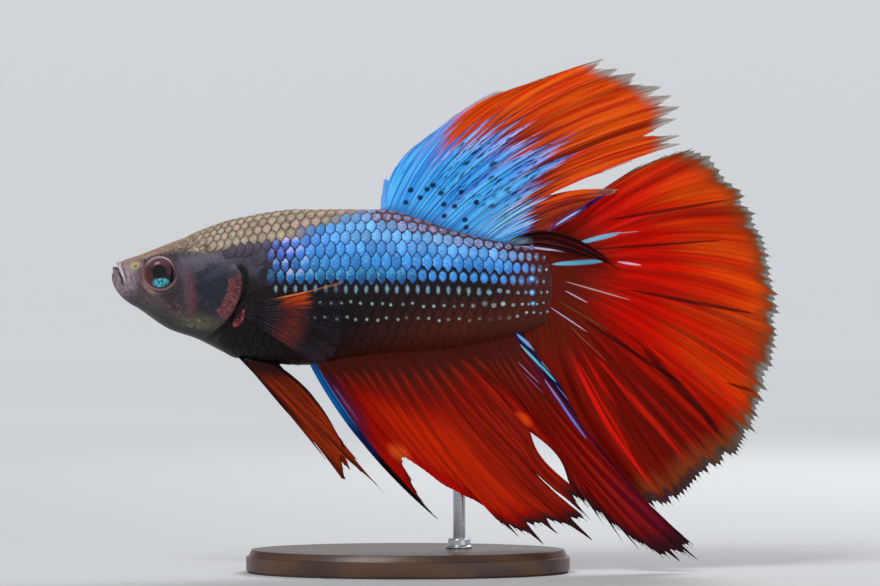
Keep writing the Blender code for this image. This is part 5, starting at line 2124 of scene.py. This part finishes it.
@dataclass(frozen=True)
class AnalFin:
    """The anal fin: two lobes with a leaf-shaped tear between them."""

    front: RayTable = RayTable((
        (-14, 21.4, -8.2, 12.8, -0.4, 5.1),
        (-13.2, 21.5, -8.2, 14.2, -2.5, 7.6),
        (-12.3, 21.6, -8.5, 16.8, -4.4, 12.1),
        (-11.3, 21.8, -7.1, 16.5, -2.3, 10.7),
        (-10.4, 22, -5.6, 16, -0.2, 9.1),
        (-9.3, 22.2, -4.3, 15.3, 1.9, 8),
        (-8.2, 22.4, -2.8, 14.5, 4, 6.9),
        (-6.9, 22.5, -0.9, 13.3, 6.5, 4.5),
        (-5.7, 22.6, 0.7, 13, 8.6, 3.8),
        (-4.4, 22.7, 2.3, 13.2, 10.4, 4.8),
        (-3.1, 22.8, 4, 13.4, 12.9, 4.6),
        (-1.9, 22.9, 5.4, 13.9, 14.8, 5.5),
        (-0.6, 23, 6.2, 15.1, 14.3, 6.3),
        (0.7, 23.1, 7, 16.9, 14.6, 7.3)))
    rear: RayTable = RayTable((
        (0.6, 23.1, 7.1, 16.6, 14.8, 6.8),
        (2.2, 23.3, 9.1, 15.8, 16.4, 5.6),
        (3.6, 23.5, 10.4, 14.6, 18, 4.4),
        (4.4, 23.7, 11.5, 13.3, 20.4, 2.8),
        (5.1, 23.8, 13, 12.6, 23, 1.6),
        (5.9, 24, 14.1, 12.6, 25.3, 1.7),
        (6.5, 24.1, 14.9, 13.1, 26, 2.6),
        (7, 24.2, 13.9, 15.4, 22.5, 5.9),
        (7.5, 24.3, 12.5, 17.8, 18.5, 9.9),
        (7.9, 24.4, 11.3, 19.6, 15.3, 13.9),
        (8.3, 24.5, 10, 22.2, 12.2, 19.5)))
    tear_from: float = 0.6
    tear_to: float = 0.88
    tear_half: float = 0.95
    tear_reach: float = 1.4
    gap: float = 0.004
    front_fringe: Fringe = Fringe(main=1, bay=0.7, tooth=0.4, teeth_each=4, uneven=0.5, spike=0.3,
                                  deep=((11.45, 0.3, 5.2),), calm=(1.6, 6.6), seed=11,
                                  threads=((7.3, 1.8), (8.3, 2.9), (9.2, 2), (10.3, 3.2), (12.1, 1.6)))
    rear_fringe: Fringe = Fringe(main=1, bay=0.9, tooth=0.4, teeth_each=4, uneven=0.5, spike=0.4, seed=12,
                                 threads=((0.7, 2), (1.7, 3), (2.6, 2.4), (4.4, 2), (5.4, 2.4), (6.3, 1.8)))

    def tear(self, off: Array, t: Array) -> Array:
        """How far the tear pushes a place aside, most at its own edge."""
        along = np.clip((t - self.tear_from) / (self.tear_to - self.tear_from), 0, 1)
        return self.tear_half * np.sin(math.pi * along) * np.exp(-((off / self.tear_reach) ** 2))

    def sway(self, u: Array, t: Array) -> Array:
        """A slow wave across the front lobe."""
        return ripple(u, t, 0.22, 0.35, 0.4)

    def rear_sway(self, u: Array, t: Array) -> Array:
        """The rear lobe lies on the near side of the tail fin."""
        return (self.sway(u + len(self.front.rays), t) * (1 - 0.6 * ease(u / 5))
                - 1 * ease(u / 7) * ease(t / 0.5))

    def build(self) -> None:
        """Makes and dresses both lobes."""
        Fin("betta_anal_fin_front", ("anal_fin_front",), "fin", self.front, self.sway, self.front_fringe,
            last=self.front.last - self.gap, opening=lambda u, t: -self.tear(self.front.last - u, 0.95 * t),
            columns=24, rows=46, root_depth=1.4, flesh=0.9, flesh_reach=0.9,
            pleat=0.16).build(AnalFrontFinish().make())
        Fin("betta_anal_fin_rear", ("anal_fin_rear",), "fin", self.rear, self.rear_sway, self.rear_fringe,
            first=self.gap, opening=self.tear, columns=26, rows=46, root_depth=1.4, flesh=0.9,
            flesh_reach=0.9, pleat=0.16).build(AnalRearFinish().make())


@dataclass(frozen=True)
class PairedFins:
    """The pelvic and pectoral fins."""

    pelvic_left: RayTable = RayTable((
        (-21.1, 22, -15.7, 16, -10.7, 9.6),
        (-20.4, 21.9, -13.8, 15.9, -5.7, 7.5),
        (-19, 21.6, -13.8, 17, -9.2, 11.6),
        (-17.3, 21.4, -13.3, 17.7, -10.7, 12.8)))
    pelvic_right: RayTable = RayTable((
        (-21.1, 22, -16.3, 16.2, -12.6, 11.6),
        (-20.4, 21.9, -15.1, 15.6, -10.6, 9.6),
        (-19.3, 21.6, -14.2, 16.2, -9.9, 10.4),
        (-17.3, 21.4, -13.8, 17.3, -10.6, 13.3)))
    pectoral: RayTable = RayTable((
        (-20.3, 28.2, -15.3, 29.3, -10.5, 30.6),
        (-20.3, 27.8, -15.1, 28.2, -10.3, 28.6),
        (-20.3, 27.3, -15.1, 27, -10.4, 25.9),
        (-20.3, 26.9, -15.5, 25.4, -11.1, 23.3),
        (-20.3, 26.4, -16.4, 23.8, -13, 21)))

    def build(self) -> None:
        """Makes and dresses the four fins."""
        pelvic, pectoral = PelvicFinish().make(), PectoralFinish().make()
        for side, table in ((Side.LEFT, self.pelvic_left), (Side.RIGHT, self.pelvic_right)):
            s, word = side.value, side.word
            Fin(f"betta_pelvic_fin_{word}", (f"pelvic_fin_{word}",), "fin", table, plain_sway(s * 0.95, s * 0.7),
                Fringe(main=1, bay=1.2, bay_power=1, tooth=0.25, teeth_each=2, uneven=0.3, spike=0.2,
                       deep=((0.6, 0.5, 3.6), (1.5, 0.4, 1.6))),
                columns=30, rows=46, root_depth=0.8, pleat=0.06, branches=1).build(pelvic)
            Fin(f"betta_pectoral_fin_{word}", (f"pectoral_fin_{word}",), "pectoral", self.pectoral,
                lambda u, t, s=s: s * (4.05 + 2.4 * t + 0.25 * t * np.sin(1.6 * u)),
                Fringe(main=1 / 3, bay=0.3, tooth=0.2, teeth_each=2, uneven=0.25, spike=0.1),
                columns=40, rows=36, root_depth=0.6, root_thick=0.1, tip_thick=0.05, flesh=0.2, pleat=0.03,
                ray_radius=0.06, tip_radius=0.02, branches=1).build(pectoral)


# ---- stand


@dataclass(frozen=True)
class WoodFinish:
    """Dark oiled wood with a long grain and small pores."""

    def make(self) -> Material:
        """Makes the foot's material.

        Returns:
            The material.
        """
        m = Maker("stand_wood")
        x, y, z = m.place()
        warp = m.noise(m.join(x * 0.05, y * 0.12, z * 0.12), 1, 2)
        rings = ((y * 0.9 + z * 0.6 + warp * 9) * 1.4).wave() * 0.5 + 0.5
        fibre = m.noise(m.join(x * 0.25, y * 5, z * 5), 1, 3)
        pores = m.noise(m.join(x * 0.9, y * 9, z * 9), 1, 2).rise(0.62, 0.72)
        colour = m.lay(
            (92, 58, 36), ((54, 31, 20), rings * 0.7 + fibre * 0.3), ((26, 14, 10), pores * 0.7))
        return m.finish({"Base Color": colour, "Roughness": fibre * 0.2 + 0.34, "Coat Weight": 0.25,
                         "Coat Roughness": 0.22, "Normal": m.relief(fibre * 0.6 - pores * 0.5, 0.4, 0.06)})


@dataclass(frozen=True)
class SteelFinish:
    """Brushed steel."""

    def make(self) -> Material:
        """Makes the rod's material.

        Returns:
            The material.
        """
        m = Maker("stand_steel")
        x, y, z = m.place()
        brush = m.noise(m.join(x * 0.8, y * 0.8, z * 14), 1, 2)
        smear = m.noise(m.join(x, y, z * 0.4), 0.7, 2)
        return m.finish({"Base Color": m.mix((196, 198, 202), (164, 166, 170), smear),
                         "Metallic": 1, "Roughness": brush * 0.16 + 0.2,
                         "Normal": m.relief(brush, 0.25, 0.02)})


def lathe(name: str, centre: Pair, profile: Sequence[Pair], material: Material,
          stretch: Pair = (1, 1), sides: int = 96) -> Thing:
    """A closed turned solid.

    Args:
        name: The piece's name.
        centre: Its axis, in x, y.
        profile: Its outline as (radius, z), which may end on the axis.
        material: Its finish.
        stretch: How much wider it is along x and y.
        sides: Number of faces round it.

    Returns:
        The piece.
    """
    turn = np.linspace(0, 2 * math.pi, sides, endpoint=False)
    rings = np.array([[(centre[0] + r * stretch[0] * math.cos(a), centre[1] + r * stretch[1] * math.sin(a), z)
                       for a in turn] for r, z in profile])
    points, faces = stacked(rings, *((*centre, profile[end][1]) for end in (0, -1)))
    return make_piece(name, points, faces, material)


def rounded(points: Sequence[Triple], steps: int = 6) -> list[Pair]:
    """An outline with rounded corners.

    Args:
        points: Corners as (radius, z, rounding).
        steps: Points on each rounding.

    Returns:
        The outline as (radius, z).
    """
    out: list[Pair] = []
    for i, (r, z, soft) in enumerate(points):
        if not soft or i in (0, len(points) - 1):
            out.append((r, z))
            continue
        before, here, after = (np.array(points[k][:2]) for k in (i - 1, i, i + 1))
        start = here + (before - here) / np.linalg.norm(before - here) * soft
        end = here + (after - here) / np.linalg.norm(after - here) * soft
        for s in np.linspace(0, 1, steps):
            p = (1 - s) ** 2 * start + 2 * s * (1 - s) * here + s * s * end
            out.append((float(p[0]), float(p[1])))
    return out


@dataclass(frozen=True)
class Stand:
    """A turned oval foot, and one rod that rises from a collar into the belly."""

    foot_x: float = -4
    foot_radii: Pair = (17, 11)
    foot_height: float = 2.4
    rod_at: Pair = (1.4, 1.85)
    rod_radius: float = 0.65
    rod_top: float = 27.4
    collar_radius: float = 1.3
    collar_height: float = 1

    def build(self) -> None:
        """Makes and dresses the stand."""
        h, low, rod, top = self.foot_height, self.foot_height + 0.02, self.rod_radius, self.rod_top
        c, rim = self.collar_radius, self.foot_height + 0.02 + self.collar_height
        foot = ((0.95, 0, 0), (0.98, 0, 0.012), (1, 0.25, 0.01), (1, h - 0.75, 0.02), (0.985, h - 0.7, 0.006),
                (0.965, h, 0.02), (0.9, h, 0))
        bar = ((0.3, low, 0), (rod, low, 0.05), (rod, top, 0.12), (0.2, top, 0))
        ring = ((rod + 0.03, low, 0), (c + 0.1, low, 0.05), (c + 0.1, low + 0.2, 0.06), (c - 0.1, low + 0.3, 0.06),
                (c - 0.1, rim, 0.16), (rod + 0.03, rim, 0))
        wood, steel = WoodFinish().make(), SteelFinish().make()
        for name, slot, node, at, outline, steps, finish, stretch, sides in (
                ("stand_foot", "wood", "stand_base", (self.foot_x, 0), foot, 7, wood, self.foot_radii, 160),
                ("stand_rod_bar", "steel", "stand_rod", self.rod_at, bar, 5, steel, (1, 1), 48),
                ("stand_collar_ring", "steel", "stand_collar", self.rod_at, ring, 5, steel, (1, 1), 64)):
            piece = lathe(name, at, rounded(outline, steps), finish, stretch, sides)
            piece.data.set_sharp_from_angle(angle=math.radians(50))
            wear(piece, slot, node)


# ---- studio


@dataclass(frozen=True)
class BackdropFinish:
    """Matt pale paper, softly lit from within far from the fish."""

    def make(self) -> Material:
        """Makes the backdrop's material.

        Returns:
            The material.
        """
        m = Maker("studio_paper")
        x, y, z = m.place()
        paper = m.mix((214, 216, 218), (208, 210, 213), m.noise(m.join(x, y, z), 0.8, 3))
        far = ((x * x + y * y) ** 0.5).rise(100, 575)
        return m.finish({"Base Color": paper, "Roughness": 0.9, "Specular IOR Level": 0.1,
                         "Emission Color": m.mix((0, 0, 0), paper, far), "Emission Strength": 0.6})


@dataclass(frozen=True)
class Lamp:
    """A soft square lamp that faces a place."""

    name: str
    at: Triple
    size: float
    power: float
    tint: Triple = (1, 1, 1)
    aims_at: Triple = (-2, 0, 29)

    def build(self) -> None:
        """Places the lamp."""
        light = bpy.data.lights.new(self.name, "AREA")
        light.shape, light.size, light.energy, light.color = "SQUARE", self.size * MM, self.power, self.tint
        obj = bpy.data.objects.new(self.name, light)
        obj.location = Vector(self.at) * MM
        obj.rotation_euler = (Vector(self.aims_at) - Vector(self.at)).to_track_quat("-Z", "Y").to_euler()
        bpy.context.scene.collection.objects.link(obj)


@dataclass(frozen=True)
class Studio:
    """A round pale floor that curves up all round, far from the fish, soft lamps and the camera."""

    camera_at: Triple = (-0.63, -420, 29.3)
    lens: float = 163.6
    floor_radius: float = 1500
    bend_radius: float = 600
    sides: int = 96
    below: float = 0.02
    air: Triple = (0.86, 0.9, 0.95)
    air_strength: float = 0.3

    def floor(self) -> None:
        """Makes the floor and the backdrop as one sheet."""
        flat = [(self.floor_radius * share, 0) for share in (0.02, 0.1, 0.3, 0.6)]
        bend = [(self.floor_radius + self.bend_radius * math.sin(a), self.bend_radius * (1 - math.cos(a)))
                for a in np.linspace(0, math.pi / 2, 20)]
        turn = np.linspace(0, 2 * math.pi, self.sides, endpoint=False)
        rings = [[(r * math.cos(a), r * math.sin(a), z - self.below) for a in turn] for r, z in flat + bend]
        points = np.concatenate([np.array(rings).reshape(-1, 3), [(0, 0, -self.below)]])
        faces = [tuple(f)[::-1] for f in grid_faces(len(rings), self.sides, around=True)]
        faces += [(i, (i + 1) % self.sides, len(points) - 1) for i in range(self.sides)]
        make_piece("studio_backdrop", points, faces, BackdropFinish().make(), recalculate=False)

    def build(self) -> None:
        """Makes the studio."""
        self.floor()
        for lamp in (Lamp("key_lamp", (-150, -280, 360), 180, 1.02, (1, 0.985, 0.96)),
                     Lamp("fill_lamp", (260, -330, 90), 300, 0.2, (0.95, 0.98, 1)),
                     Lamp("rim_lamp", (120, 230, 260), 160, 0.7)):
            lamp.build()
        scene = bpy.context.scene
        world = bpy.data.worlds.new("studio_air")
        world.use_nodes = True
        air = world.node_tree.nodes["Background"].inputs
        air["Color"].default_value, air["Strength"].default_value = (*self.air, 1), self.air_strength
        scene.world = world
        scene.view_settings.view_transform = "Standard"
        camera = bpy.data.cameras.new("camera")
        camera.lens, camera.sensor_width = self.lens, 36
        camera.clip_start, camera.clip_end = 0.01, 10
        obj = show("camera", camera)
        obj.location = Vector(self.camera_at) * MM
        obj.rotation_euler = (math.pi / 2, 0, 0)
        scene.camera = obj


def write_sizes() -> None:
    """Updates the view layer.
    """
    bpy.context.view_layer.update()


def main() -> None:
    """Builds the fish, its stand and the studio."""
    logging.basicConfig(level=logging.INFO, format="%(name)s %(message)s")
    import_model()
    Studio().build()
    Skin().build()
    scales = ScaleFinish().make()
    eyes = EyeFinish().make()
    for side in Side:
        ScaleCoat(side).build(scales)
        Eye(side).build(eyes)
    TailFin().build()
    DorsalFin().build()
    AnalFin().build()
    PairedFins().build()
    Stand().build()
    write_sizes()


if __name__ == "__main__":
    main()
